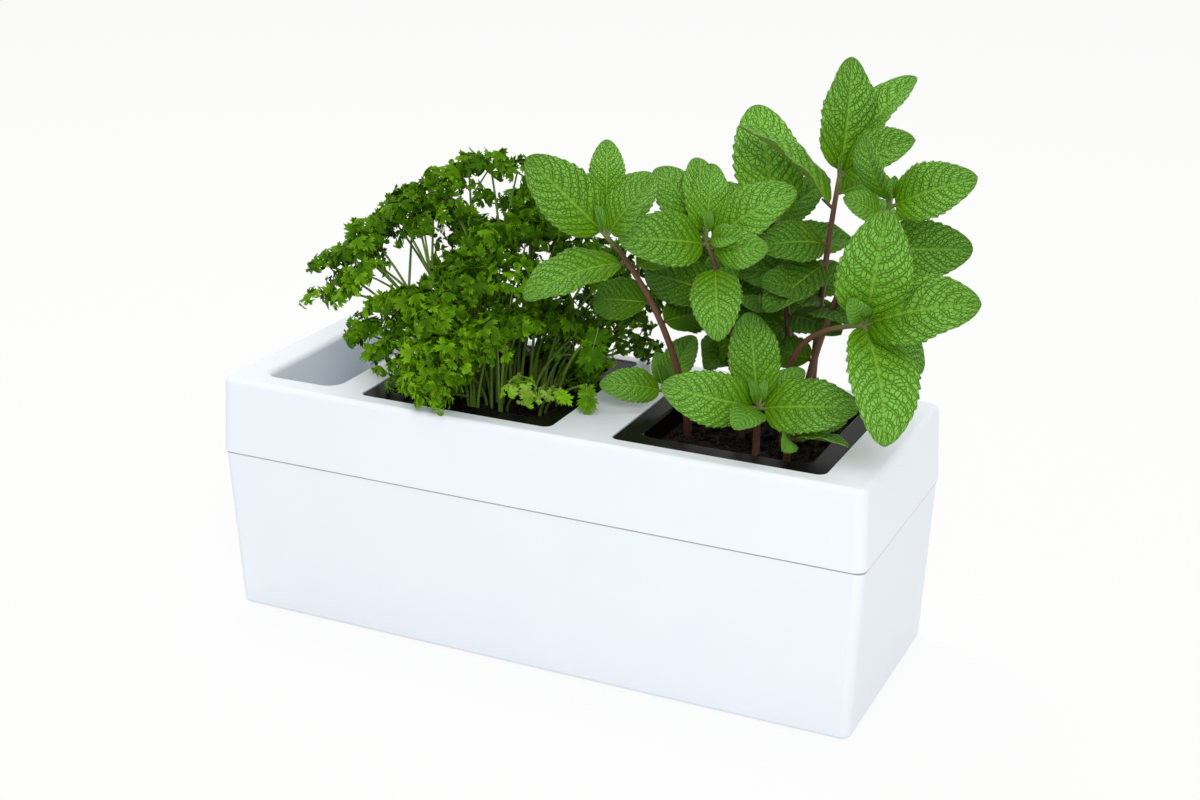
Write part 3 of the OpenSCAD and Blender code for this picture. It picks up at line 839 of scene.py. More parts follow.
# %% The net between the veins
PUCKERS = 2 * SIDE_VEINS
PUCKER_SPREAD = 0.8
HALVES_APART = 23.0
half = maths(veins, "MULTIPLY", maths(veins, "GREATER_THAN", split.outputs["X"], 0.5), HALVES_APART)
reach = maths(veins, "MULTIPLY_ADD", across, 0.3, maths(veins, "MULTIPLY", along, 0.65))
net_x = maths(veins, "MULTIPLY_ADD", reach, PUCKERS, half)
panel = add(veins, "ShaderNodeCombineXYZ", net_x, maths(veins, "MULTIPLY", slant, PUCKERS))
drift = cloudy(veins, panel, 0.9, 1.0, out=1)
warped = add(veins, "ShaderNodeVectorMath", drift, (0.5, 0.5, 0.0), panel, operation="MULTIPLY_ADD")
cell = veins.nodes.new("ShaderNodeTexVoronoi")
cell.feature, cell.voronoi_dimensions = "DISTANCE_TO_EDGE", "2D"
cell.inputs["Scale"].default_value = 1.0
cell.inputs["Randomness"].default_value = PUCKER_SPREAD
veins.links.new(warped, cell.inputs["Vector"])
print("puckers along a leaf:", PUCKERS)

# %% [markdown]
# ## What the veins give
# The finishes need a height for the bump and masks for the grooves, the midrib and the margin.
# The net and the side veins share one rule for how deep they lie. The height takes wide lines, so
# that the skin swells softly, and the colour takes thin ones.

# %% What the veins give
WIDE_LINES, THIN_LINES = (0.16, 0.13), (0.085, 0.075)
strength = between(veins, along, 0.0, 0.4, 0.25, 1.0)


def sunken(net_width, vein_width):
    """How deep the net and the side veins lie, for lines of a given width."""
    net = between(veins, cell.outputs["Distance"], net_width, 0.0, ease="SMOOTHSTEP")
    vein = between(veins, off_vein, vein_width, 0.0, ease="SMOOTHSTEP")
    return maths(veins, "MAXIMUM", maths(veins, "MULTIPLY", net, strength), vein)


furrow = between(veins, across, 0.0, 0.12, ease="SMOOTHSTEP")
raised = maths(veins, "SUBTRACT", 1.0, sunken(*WIDE_LINES))
fading = between(veins, along, 0.85, 0.35)
leaf_masks = {
    "Midrib": maths(veins, "MULTIPLY", between(veins, across, 0.05, 0.015), fading),
    "Height": maths(veins, "MULTIPLY", raised, furrow),
    "Groove": sunken(*THIN_LINES),
    "Along": along,
    "Margin": between(veins, across, 0.93, 1.0),
}
for label in leaf_masks:
    veins.interface.new_socket(label, in_out="OUTPUT", socket_type="NodeSocketFloat")
veins_out = veins.nodes.new("NodeGroupOutput")
for label, value in leaf_masks.items():
    veins.links.new(value, veins_out.inputs[label])
print("the veins give", list(leaf_masks))

# %% [markdown]
# ## The upper face of a mint leaf
# The face is a fresh green, yellower near the stalk, with a pale midrib. The swells are painted
# lighter and cooler than the grooves: a painted sheen, finely speckled as by the leaf's hairs. The
# grooves are darker, partly their own green and partly painted shade. No two leaves are the same
# green, so each carries a tone of its own, as an attribute, and every colour runs between two by it.


# %% The upper face of a mint leaf
def leaf_tone(tree):
    return add(tree, "ShaderNodeAttribute", out=2, attribute_name="tone")


def toward(tree, amount, share, first, second):
    """Goes part of the way from one colour to another where a mask asks for it."""
    return blend_colours(tree, maths(tree, "MULTIPLY", amount, share), first, second)


mint_face, tree, shader = material("mint_leaf_face", specular_ior_level=0.05)
group = shared(tree, veins)
tone = leaf_tone(tree)
place = object_place(tree)
sheen_speckle = between(tree, cloudy(tree, place, 2600.0, 2.0), 0.3, 0.7, 0.7, 1.0)
patch = between(tree, cloudy(tree, place, 130.0, 3.0), 0.5, 0.8, 0.0, 0.3)
outer = between(tree, group.outputs["Along"], 0.1, 0.6)
near_stalk = blend_colours(tree, tone, colour(46, 80, 2), colour(120, 182, 26))
# The swell colour is lighter and bluer than the leaf's own green: a painted sheen.
swell = blend_colours(tree, tone, colour(56, 96, 16), colour(144, 212, 96))
# The groove colour is darker: partly the vein's own green and partly painted shade.
groove_and_shade = blend_colours(tree, tone, colour(36, 64, 0), colour(84, 134, 0))
leaf_green = toward(tree, outer, sheen_speckle, near_stalk, swell)
leaf_green = blend_colours(tree, group.outputs["Groove"], leaf_green, groove_and_shade)
leaf_green = toward(tree, group.outputs["Midrib"], 0.5, leaf_green, colour(146, 180, 64))
leaf_green = toward(tree, group.outputs["Margin"], 0.25, leaf_green, colour(146, 186, 90))
paint(tree, shader, blend_colours(tree, patch, leaf_green, colour(92, 138, 10)))
tree.links.new(between(tree, group.outputs["Groove"], 0.0, 1.0, 0.42, 0.7), shader.inputs["Roughness"])
bumpy(tree, shader, group.outputs["Height"], 0.8, 0.8 * MM)
print("upper face:", mint_face.name)

# %% [markdown]
# ## The back of a mint leaf
# The back is paler and duller, and what is sunken on the face stands out here as ribs. So the same
# group is used the other way up: one minus its height, with the grooves in a lighter green.

# %% The back of a mint leaf
mint_back, tree, shader = material("mint_leaf_back", roughness=0.6, specular_ior_level=0.1)
group = shared(tree, veins)
pale = blend_colours(tree, leaf_tone(tree), colour(74, 112, 24), colour(150, 190, 84))
ribs = maths(tree, "MULTIPLY", group.outputs["Groove"], 0.5)
ribs = maths(tree, "MAXIMUM", group.outputs["Midrib"], ribs)
paint(tree, shader, blend_colours(tree, ribs, pale, colour(150, 184, 92)))
bumpy(tree, shader, maths(tree, "SUBTRACT", 1.0, group.outputs["Height"]), 0.6, 0.6 * MM)
print("back:", mint_back.name)

# %% [markdown]
# ## Mint stems
# The stems are reddish brown with fine streaks along them, and turn green in the youngest part. Two
# materials would meet at a hard line, so one goes from brown to green by the tone attribute.

# %% Mint stems
mint_stem, tree, shader = material("mint_stem", roughness=0.55)
streak = streaky(tree, object_place(tree), 0.15, 900.0, 4.0)
brown = blend_colours(tree, streak, colour(72, 42, 30), colour(114, 76, 54))
paint(tree, shader, blend_colours(tree, leaf_tone(tree), brown, colour(112, 140, 70)))
bumpy(tree, shader, streak, 0.4, 0.4 * MM)
print("stems:", mint_stem.name)

# %% [markdown]
# ## Where the mint's leaves stand
# Each shoot rises upright and leans out, with leaves mostly in opposite pairs. Every leaf could be
# placed by dragging it about, but a short list is easier to read and change: the rows of the CAD
# source, so that each blade lies where its solid is, and a few more that only fill the inside.

# %% Where the mint's leaves stand
# Each shoot: root and tip in millimetres, and its leaves. A leaf is its share of the stem, heading
# and slope in degrees and size in millimetres, then, where it matters, a roll about its own length
# and the length of its stalk.
SHOOTS = {
    "front": ((8, -20), (10, -24, 24), [
        (1, -150, 15, 43, 40), (1, -5, 10, 46, -20), (1, 125, 60, 41, 5), (1, -90, 0, 27, 5),
        (1, 45, 35, 24, -15)]),
    "left": ((-30, -8), (-55, -45, 100), [
        (1, -155, 45, 46, 30), (1, -10, 50, 34, -20), (1, 115, 70, 28, -5, 14),
        (0.84, -135, -15, 47, -15), (1, 75, 35, 36, -5), (0.6, 160, -10, 35, 30),
        (0.5, 80, -10, 34, -20)]),
    "middle": ((-6, 0), (-21, -14, 95), [
        (0.97, -125, 10, 44, 25), (0.97, 5, 35, 46, -10), (1, 105, 60, 29, -5, 6), (1, 150, 35, 42),
        (1, -20, 15, 19, -25), (0.95, -20, 10, 32, -60), (0.84, -65, -35, 40, -5),
        (1, 125, 55, 36, -20), (0.66, 170, 5, 40, 25), (0.42, 140, -30, 32, 40)]),
    "back": ((10, 20), (0, 20, 97), [
        (1, 130, 55, 55, 5), (1, 115, 35, 40), (0.84, 50, 0, 36), (0.6, 60, 5, 38),
        (0.72, -165, -15, 36, 20), (0.45, -170, -5, 32, 20)]),
    "tall": ((22, 12), (29, 17, 122), [
        (1, 90, 80, 49, -30), (1, 45, 50, 52, 35), (1, -15, 30, 40, -10), (0.92, 75, -5, 36, -5),
        (0.85, 180, 35, 54, -45), (0.7, -125, 5, 36, 15), (0.6, -160, -5, 36, 25),
        (0.48, -115, 20, 38)]),
    "right": ((20, 2), (58, -2, 116), [
        (1, -130, 65, 32, 100), (1, -15, 25, 42, -30), (0.78, 25, 0, 46, -40), (0.95, -120, 25, 23, 30),
        (0.9, 95, -5, 40), (0.7, 40, -5, 38), (0.3, 145, -10, 30, 15)]),
    "outer": ((15, -4), (57, -26, 70), [
        (1, -55, 70, 56, -85), (1, -15, 20, 55, -10), (1, -60, -40, 57, 25),
        (0.97, 40, -35, 38, -10), (1, -100, 45, 19, 60)]),
    "low": ((-30, 8), (-46, 2, 15), [
        (1, -140, 10, 30, 15), (1, 75, 45, 28), (1, 135, 55, 16)]),
    "rear": ((-8, 24), (-14, 36, 84), [
        (1, 150, 25, 38), (1, 35, 40, 40), (1, 80, 55, 40), (0.8, 95, -10, 42), (0.5, 30, 0, 38),
        (0.75, -160, 5, 50, 30)]),
    "sprout": ((24, -24), (26, -26, 13), [
        (1, -80, 5, 18, 35), (1, -10, 5, 26, 40), (1, 25, 20, 24, 10)]),
}
# Most stems lean out evenly. The outer one rises and then bends out sharply.
LEAN = {"outer": 4.0}
# Leaves deeper in the plant, which the CAD source leaves out.
INNER_LEAVES = {
    "middle": [(0.35, 60, 0, 36)],
    "left": [(0.8, 55, 5, 30)],
    "back": [(0.7, 300, 0, 40), (0.45, 210, 0, 36), (0.5, 330, 0, 34)],
    "tall": [(0.62, 250, -20, 40), (0.45, 310, 5, 36)],
    "rear": [(0.65, 290, 5, 40), (0.35, 250, 0, 36), (0.8, 250, 10, 36), (0.62, 190, 0, 46, 20),
             (0.85, 185, -20, 48, 20)],
}
# The youngest pair at each tip stands upright: heading from the first leaf, slope and size.
YOUNG_PAIR = [(35, 66, 13), (215, 72, 10)]
mix_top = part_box("mint_mix")[1].z / MM
mint_root = np.array([pot_x["mint"] / MM, 0, mix_top + 0.1])
print(sum(len(leaves) for root, tip, leaves in SHOOTS.values()), "leaves on", len(SHOOTS), "shoots")

# %% [markdown]
# ## How a leaf is turned
# A leaf points along its heading and slope, and it turns its face most of the way towards the
# light at the front, as leaves do. Turning each one by hand would be guesswork. Three directions
# say it all: along the leaf's chord, across it and up from its face.

# %% How a leaf is turned
LIGHT = np.array([0.25, -0.72, 0.65])
TO_LIGHT, MOST_TURN = 0.75, 75


def shoot_point(root, tip, t, lean):
    """A place on a stem, as it rises from its root to its tip."""
    x, y = (a + (b - a) * t ** lean for a, b in zip(root, tip))
    return np.array([x, y, tip[2] * (1.25 * t - 0.25 * t * t)])


def leaf_axes(heading, slope, roll=0):
    """Along the leaf's chord, across it, and up from its face, turned towards the light."""
    a, e = math.radians(heading), math.radians(slope)
    chord = np.array([math.cos(a) * math.cos(e), math.sin(a) * math.cos(e), math.sin(e)])
    level = np.array([-math.cos(a) * math.sin(e), -math.sin(a) * math.sin(e), math.cos(e)])
    flat = np.array([-math.sin(a), math.cos(a), 0])
    turn = TO_LIGHT * math.atan2(LIGHT @ flat, LIGHT @ level)
    turn = max(-math.radians(MOST_TURN), min(math.radians(MOST_TURN), turn)) + math.radians(roll)
    face = level * math.cos(turn) + flat * math.sin(turn)
    return chord, np.cross(face, chord), face


print("a level leaf to the front faces", leaf_axes(-90, 0)[2].round(2))

# %% [markdown]
# ## One mint leaf
# The leaf is a flat grid at first, fine enough for its teeth and puckers. One grid is made and
# copied for every leaf, so that all have the same points and one UV map fits them all.

# %% The pattern for a leaf
LEAF_COLUMNS, LEAF_ROWS = 20, 60
alone()
bpy.ops.mesh.primitive_grid_add(x_subdivisions=LEAF_COLUMNS, y_subdivisions=LEAF_ROWS, size=2)
leaf_pattern = bpy.context.object
leaf_pattern.name = "leaf_pattern"
pattern = np.array([v.co for v in leaf_pattern.data.vertices])
# From -1 to 1 between the margins, from 0 to 1 between foot and tip, and from 0 to 1 off the midrib.
aside, along = pattern[:, 0], (pattern[:, 1] + 1) / 2
off_rib = np.abs(aside)
print("leaf pattern:", len(pattern), "points")

# %% [markdown]
# ## The form of a leaf
# Sculpting each leaf would take days, so the grid's points are moved by a formula: the outline
# narrows to the tip, the blade folds at the midrib, arches along its length, waves at the margin
# and swells between its side veins. Every leaf draws its own fold, twist and wave from a seeded
# random generator.

# %% The form of a leaf
MINT_WIDTH, MINT_BEND, MINT_TWIST = 0.57, 34.0, 16
FOLDS, WAVES = (0.18, 0.46), (0.03, 0.09)
TEETH, TOOTH = 12, 0.095
# The rise of the puckers and the sinking of the midrib, as shares of the leaf's length.
PUCKER, FURROW = 0.02, 0.01
rng = np.random.default_rng(5)


def leaf_lift(size, half, fold, wave, start):
    """How far each point lies off the arched blade: fold, rolled and waved margin, puckers and midrib."""
    vein = SIDE_VEINS * (along - (SIDE_VEIN_RISE + SIDE_VEIN_ARCH * off_rib) * off_rib)
    swell = np.abs(np.sin(np.pi * vein)) ** 0.7 * (0.7 + 0.3 * np.abs(np.sin(2.2 * np.pi * aside)))
    envelope = np.clip(half / (size * MINT_WIDTH / 2), 0, 1) * (1 - aside ** 6)
    ripple = np.sin(2 * np.pi * 2.6 * along + start + (aside > 0) * 1.3)
    lift = fold * half * (np.sqrt(aside ** 2 + 0.012) - 0.11) - 0.1 * half * aside ** 4
    lift += wave * half * ripple * off_rib ** 2.5
    lift += PUCKER * size * (swell - 0.4) * envelope
    return lift - FURROW * size * np.exp(-(aside / 0.09) ** 2) * envelope


def leaf_points(base, heading, slope, size, roll):
    """The pattern's points bent into one leaf, in millimetres."""
    chord, across, face = leaf_axes(heading, slope, roll)
    bend = math.radians(MINT_BEND * rng.uniform(0.7, 1.3))
    fold, twist = rng.uniform(*FOLDS), math.radians(rng.uniform(-MINT_TWIST, MINT_TWIST))
    wave, start = rng.uniform(*WAVES), rng.uniform(0, 6.28)
    half = size * MINT_WIDTH / 2 * (0.05 + 0.95 * np.abs(np.sin(np.pi * along ** 0.84)) ** 0.6)
    tooth = 1 + TOOTH * ((along * TEETH + start) % 1 - 0.5) * off_rib ** 10 * np.sin(np.pi * along)
    out = size / bend * (math.sin(bend / 2) - np.sin(bend * (0.5 - along)))
    up = size / bend * (np.cos(bend * (0.5 - along)) - math.cos(bend / 2))
    lift = leaf_lift(size, half, fold, wave, start)
    turn = twist * (along - 0.15)
    side = np.outer(np.cos(turn), across) + np.outer(np.sin(turn), face)
    normal = np.outer(np.cos(turn), face) - np.outer(np.sin(turn), across)
    blade = np.outer(out, chord) + np.outer(up, face)
    return base + blade - (aside * half * tooth)[:, None] * side + lift[:, None] * normal


# %% [markdown]
# ## A leaf as a piece of mesh
# Each leaf is a copy of the pattern with its points moved. Solidify gives it the thickness of a
# leaf and the back its own material. Leaves near the tip of a shoot are lighter than those below,
# and so are small ones, for their youth; the lower leaves are also painted darker, as painted shade
# deep in the plant.

# %% A leaf as a piece of mesh
LEAF_THICK = 0.35 * MM
OLD_AND_SHADED_TONE, TIP_TONE, SMALL_TONE, TONE_SPREAD = 0.28, 0.42, 0.2, 0.06


def make_leaf(base, share, heading, slope, size, roll):
    leaf = leaf_pattern.copy()
    leaf.data = leaf_pattern.data.copy()
    bpy.context.scene.collection.objects.link(leaf)
    points = leaf_points(base, heading, slope, size, roll) * MM
    leaf.data.vertices.foreach_set("co", points.astype(np.float32).ravel())
    # Leaves low on a shoot keep the darker tone, partly for their age and partly as painted shade.
    light = OLD_AND_SHADED_TONE + TIP_TONE * np.clip((share - 0.7) / 0.2, 0, 1)
    light += SMALL_TONE * np.clip((40 - size) / 25, 0, 1) + rng.normal(0, TONE_SPREAD)
    tone = leaf.data.attributes.new("tone", "FLOAT", "POINT")
    tone.data.foreach_set("value", np.full(len(points), np.clip(light, 0, 1), np.float32))
    leaf.data.materials.append(mint_face)
    leaf.data.materials.append(mint_back)
    apply_modifier(leaf, "SOLIDIFY", thickness=LEAF_THICK, offset=-1, material_offset=1)
    return leaf


# %% [markdown]
# ## The mint's stems
# A stem and its leaf stalks are round and get thinner upwards. A curve with a bevel is the natural
# way to draw that: each point of it has a place and a radius, and converting it gives the mesh.

# %% The mint's stems
STEM_RADIUS = 1.9


def draw_tubes(name, lines, origin, resolution):
    """Round stalks along chains of places and radii, in millimetres, as one mesh."""
    curve = bpy.data.curves.new(name, "CURVE")
    curve.dimensions = "3D"
    curve.bevel_depth = MM
    curve.bevel_resolution = resolution
    curve.use_fill_caps = True
    for line in lines:
        spline = curve.splines.new("POLY")
        spline.points.add(len(line) - 1)
        for point, (place, radius) in zip(spline.points, line):
            point.co = (*((place + origin) * MM), 1)
            point.radius = radius
    tubes = bpy.data.objects.new(name, curve)
    bpy.context.scene.collection.objects.link(tubes)
    alone(tubes)
    bpy.ops.object.convert(target="MESH")
    return bpy.context.object


def make_stems(name, root, tip, lean, leaves):
    """The stem of a shoot and the stalks of its leaves, greener towards the tip."""
    stem = [(shoot_point(root, tip, t, lean), STEM_RADIUS * (1 - 0.4 * t)) for t in np.linspace(0, 1, 18)]
    stem[0] = (stem[0][0] - (0, 0, 2), STEM_RADIUS * 1.1)
    lines = [stem]
    for share, heading, slope, size, roll, stalk in leaves:
        at, chord = shoot_point(root, tip, share, lean), leaf_axes(heading, slope)[0]
        steps = ((0, 1.0), (stalk, 0.8), (stalk + 1.5, 0.7), (stalk + 4, 0.45))
        lines.append([(at + chord * reach, radius) for reach, radius in steps])
    stems = draw_tubes(name + "_stem", lines, mint_root, 2)
    top = (mint_root[2] + tip[2]) * MM
    green = [max(0.0, 1 - (top - v.co.z) / (10 * MM)) * 0.6 for v in stems.data.vertices]
    tone = stems.data.attributes.new("tone", "FLOAT", "POINT")
    tone.data.foreach_set("value", green)
    stems.data.materials.append(mint_stem)
    bpy.ops.object.shade_smooth()
    return stems


# %% [markdown]
# ## The mint's shoots
# A shoot is its stem with all its leaves, joined into one piece, because they never move apart.
# Its youngest pair of leaves is added at the tip, turned to suit the first leaf of the list.

# %% The mint's shoots
EVEN_LEAN = 1.5
# What a row leaves out: no roll, and a stalk of 3 mm.
PLAIN_ROW = (0, 3)


def make_shoot(name, root, tip, lean, leaves):
    leaves = [leaf + PLAIN_ROW[len(leaf) - 4:] for leaf in leaves]
    shoot = make_stems(name, root, tip, lean, leaves)
    blades = []
    for share, heading, slope, size, roll, stalk in leaves:
        foot = shoot_point(root, tip, share, lean) + stalk * leaf_axes(heading, slope)[0] + (0, 0, 0.4)
        blades.append(make_leaf(foot + mint_root, share, heading, slope, size, roll))
    alone(shoot)
    for blade in blades:
        blade.select_set(True)
    bpy.ops.object.join()
    bpy.ops.object.shade_smooth()
    shoot.name = "mint_" + name + "_shoot"
    return finish_piece(shoot, "mint", "mint", "mint_" + name)


for name, (root, tip, leaves) in SHOOTS.items():
    turn = leaves[0][1]
    young = [(1, turn + heading, slope, size) for heading, slope, size in YOUNG_PAIR]
    make_shoot(name, root, tip, LEAN.get(name, EVEN_LEAN), leaves + INNER_LEAVES.get(name, []) + young)
bpy.data.objects.remove(leaf_pattern)

# %% [markdown]
# ## Parsley finishes
# Curled parsley is a deep green and its stalks are paler. Its frilled edges are painted lighter,
# as a painted highlight where they catch the light. The tone attribute runs from the heart of each
# leaflet to its frill, and beyond 1 to the pale yellow of the youngest leaves, so one material
# serves them all. Where the tone is raised or lowered for the light, it carries painted light and
# shade as well.

# %% Parsley finishes
parsley_leaf, tree, shader = material("parsley_leaf", roughness=0.5, specular_ior_level=0.05)
place = object_place(tree)
tone = leaf_tone(tree)
deep = blend_colours(tree, cloudy(tree, place, 240.0, 4.0), colour(38, 73, 0), colour(64, 109, 2))
frill_highlight = blend_colours(tree, between(tree, tone, 0.0, 1.0), deep, colour(126, 182, 24))
paint(tree, shader, blend_colours(tree, between(tree, tone, 1.0, 2.0), frill_highlight, colour(156, 174, 96)))
bumpy(tree, shader, cloudy(tree, place, 1500.0, 3.0), 0.5, 0.5 * MM)

parsley_stalk, tree, shader = material("parsley_stalk", roughness=0.45)
rib = streaky(tree, object_place(tree), 0.1, 1200.0, 3.0)
paint(tree, shader, blend_colours(tree, rib, colour(72, 106, 16), colour(124, 156, 62)))
bumpy(tree, shader, rib, 0.4, 0.4 * MM)
print("parsley finishes:", parsley_leaf.name, parsley_stalk.name)

# %% [markdown]
# ## Where the parsley's sprigs are
# A sprig is a stalk with a curled leaf at its tip and others that branch off below. The crown is
# too dense to place by eye leaflet by leaflet, so the list gives only whole leaves, the same ones
# as the CAD source, and everything smaller grows from them.

# %% Where the parsley's leaves are
# Each sprig: leaves as x, y, height above the deck and radius, in millimetres, the tip first.
SPRIGS = [
    [(-20, 6, 101, 11), (-30, 0, 92, 9), (-24, -2, 81, 9)],
    [(-6, 2, 104, 11), (7, 4, 102, 10)],
    [(20, 8, 94, 11), (31, -4, 89, 10), (16, 0, 81, 11)],
    [(-46, -18, 81, 11), (-45, -6, 88, 8), (-38, -8, 75, 9)],
    [(-58, 0, 77, 11), (-66, 8, 72, 9), (-40, 6, 79, 10)],
    [(-70, -6, 66, 11), (-79, -4, 55, 10), (-60, 20, 71, 10)],
    [(-66, -20, 61, 11), (-58, -28, 52, 10)],
    [(-92, -12, 50, 8), (-84, -14, 37, 9)],
    [(-33, -30, 41, 11), (-46, -8, 33, 11), (-47, -28, 17, 9)],
    [(-62, -26, 22, 9), (-36, -32, 10, 9)],
    [(-24, -34, 22, 12), (-20, -44, 11, 11), (-8, -47, 10, 10)],
    [(-16, -38, 39, 11), (-8, -42, 25, 11)],
    [(5, -20, 73, 12), (18, -24, 61, 11), (2, -32, 57, 11)],
    [(-6, 2, 69, 12), (-14, -16, 53, 10), (10, 14, 75, 11)],
    [(-18, 20, 66, 11), (-34, 24, 67, 9), (-6, 30, 79, 11)],
    [(32, 2, 78, 11), (24, 20, 73, 11), (36, 12, 63, 10)],
    [(20, 36, 74, 11), (40, 26, 55, 10), (30, 44, 41, 10)],
    [(27, -10, 53, 10), (33, -8, 33, 10), (20, 8, 41, 11)],
    [(22, -22, 37, 10), (10, -34, 35, 10)],
    [(36, 12, 25, 10), (44, 10, 14, 8)],
    [(50, 36, 14, 10), (58, 44, 10, 8), (40, 42, 24, 9)],
    [(27, -31, 7, 8)],
    [(-10, 44, 55, 11), (-34, 34, 41, 11), (14, 46, 49, 11)],
    [(-40, 40, 23, 10), (-14, 48, 24, 10), (-52, 30, 33, 10)],
    [(14, 48, 18, 10), (26, 46, 27, 9)],
]
parsley_root = np.array([pot_x["parsley"] / MM, 0, mix_top + 0.1])
pot_mouth = (pots["parsley"][1].x - pots["parsley"][0].x - 2 * FLANGE_WIDE) / MM
mix_drop = deck / MM - mix_top


def sprig_point(leaf):
    """Where a listed leaf is, above the mix."""
    return np.array([leaf[0], leaf[1], mix_drop + leaf[2]])


def stalk_root(tip):
    """Where a stalk leaves the mix, nearer to the pot's middle than its tip is."""
    reach = math.hypot(tip[0], tip[1])
    return np.array([tip[0], tip[1], 0]) * min(0.3, 0.33 * pot_mouth / reach)


def stalk_point(root, tip, t):
    """A place on a stalk, as it rises from its root to its tip."""
    x, y = (a + (b - a) * t ** 1.6 for a, b in zip(root[:2], tip))
    return np.array([x, y, tip[2] * (1.2 * t - 0.2 * t * t)])


print(sum(len(sprig) for sprig in SPRIGS), "leaves on", len(SPRIGS), "sprigs")

# %% [markdown]
# ## One parsley leaflet
# The smallest part of a curled leaf is a fan with three toothed lobes, whose rim waves up and
# down. There are thousands of them, so the fan is built from a few dozen flat faces: two arcs of
# points round its foot, the inner one plain and the outer one notched.

# %% One parsley leaflet
LOBES = 3
FAN_SPREAD = math.radians(160)
HEART, HEART_NOTCH = 0.45, 0.15
# How deep the rim is cut at each of the six steps of a lobe.
NOTCH = [0.55, 0.12, 0.26, 0.0, 0.26, 0.12]


def leaflet():
    """A fan of toothed lobes: its points, faces and the tone of each point, at size 1 along +X."""
    points, tone = [(0.0, 0.0, 0.0)], [0.0]
    for share, steps in ((HEART, 2 * LOBES), (1.0, 6 * LOBES)):
        for k in range(steps + 1):
            u = k / steps
            a = (u - 0.5) * FAN_SPREAD
            cut = NOTCH[k % 6] if share == 1 else HEART_NOTCH * (1 - k % 2)
            far = share * (1 - cut) * (0.7 + 0.3 * math.sin(math.pi * u))
            ruffle = math.sin(2 * math.pi * 1.5 * u + 0.6)
            points.append((far * math.cos(a), far * math.sin(a), far ** 2 * (0.3 * ruffle - 0.2)))
            # Points further out and on the up-curled crests of the rim get a higher tone: painted highlight.
            tone.append(share ** 2 * (1 - cut) * (0.75 + 0.25 * ruffle))
    faces = []
    for i in range(1, 2 * LOBES + 1):
        j = 2 * LOBES + 2 + 3 * (i - 1)
        faces += [(0, i, i + 1), (i, j, j + 1), (i, j + 1, i + 1)]
        faces += [(i + 1, j + 1, j + 2), (i + 1, j + 2, j + 3)]
    return np.array(points), faces, np.array(tone)


fan_shape, fan_faces, fan_tone = leaflet()
print("one leaflet has", len(fan_faces), "faces")

# %% [markdown]
# ## A tuft of leaflets
# A curled leaf is a shallow dome of leaflets that jostle each other. They are set round the dome
# in a spiral, as seeds sit in a seed head, and each is then turned, tilted, sized and curled at
# random, from a seeded generator, so that no two tufts are alike.

# %% A tuft of leaflets
LEAFLETS, SIDE_LEAFLETS = 24, 14
# The turn from one leaflet of a tuft to the next, in radians.
SPIRAL = 2.4
rng = np.random.default_rng(3)


def unit(v):
    return v / np.linalg.norm(v)


def fan_at(start, chord, face, scale, curl, tone):
    """One leaflet, placed and turned, with the tone of its points."""
    side = np.cross(face, chord)
    fan = np.outer(fan_shape[:, 0], chord) + np.outer(fan_shape[:, 1], side)
    return start + (fan + np.outer(fan_shape[:, 2] * curl, face)) * scale, tone


def tuft(at, size, count, youth=0.0):
    """A curled leaf: fans spread over a tilted, shallow dome, as placed points and tones."""
    # The low leaves at the front left are painted lighter, as painted light, and the rest a little darker, as
    # painted shade.
    sunny = 0.1 if at[0] < 4 and at[1] < -16 and at[2] < 56 else -0.05
    shade = sunny + rng.uniform(-0.18, 0.18)
    up = unit(np.array([at[0], at[1], 0]) * 0.006 + (0, 0, 1) + rng.normal(0, 0.2, 3))
    east = unit(np.cross((0, 1, 0), up))
    north = np.cross(up, east)
    placed = []
    for k in range(count):
        height = 1 - 1.3 * (k + 0.5) / count
        a = SPIRAL * k + rng.uniform(-0.4, 0.4)
        ring = math.sqrt(1 - height * height)
        level = east * math.cos(a) + north * math.sin(a)
        face = unit(level * ring + up * height + rng.normal(0, 0.4, 3))
        chord = level + up * rng.uniform(-0.4, 0.9) + rng.normal(0, 0.4, 3)
        chord = unit(chord - face * (chord @ face))
        scale = size * rng.uniform(0.42, 0.72)
        dome = level * ring * rng.uniform(0.8, 1.3) + up * height * 0.55
        # Leaflets high on the dome are painted lighter, as painted light on the top of the tuft.
        light = shade + 0.12 * height + rng.uniform(-0.25, 0.25)
        tone = np.clip(fan_tone * rng.uniform(0.2, 1.0) + light, 0, 1) + youth
        start = at + size * dome - chord * scale * 0.4
        placed.append(fan_at(start, chord, face, scale, rng.uniform(0.5, 1.5), tone))
    return placed


# %% [markdown]
# ## Stalks
# Every leaf stands on a stalk that bends outwards as it rises. All stalks are collected as chains
# of places and radii, and all leaflets as placed points, until the whole plant is known.

# %% Stalks
# How far from the pot's middle a stalk may start, in millimetres.
FOOT_REACH = 36
STALK_STEPS = np.linspace(0, 1, 9)
stalk_lines, fans = [], []


def draw_stalk(root, end, thick, thin):
    stalk_lines.append([(stalk_point(root, end, t), thick + (thin - thick) * t) for t in STALK_STEPS])


def inside_pot(foot):
    """Moves a foot to where the pot has mix."""
    return np.append(np.clip(foot[:2], -FOOT_REACH, FOOT_REACH), 0)


def draw_twig(start, end, steps, thick=0.4, thin=0.4, rise=0):
    """A thin side stalk, straight or a little arched."""
    line = []
    for t in steps:
        place = start + (end - start) * t + (0, 0, rise * t * (1 - t))
        line.append((place, thick + (thin - thick) * t))
    stalk_lines.append(line)


# %% [markdown]
# ## The listed sprigs
# Each sprig forks a little above its middle, and a smaller tuft sits beside every leaf, as the
# side leaflets of real parsley do. The one low sprig that stands alone at the front is a young,
# pale one.

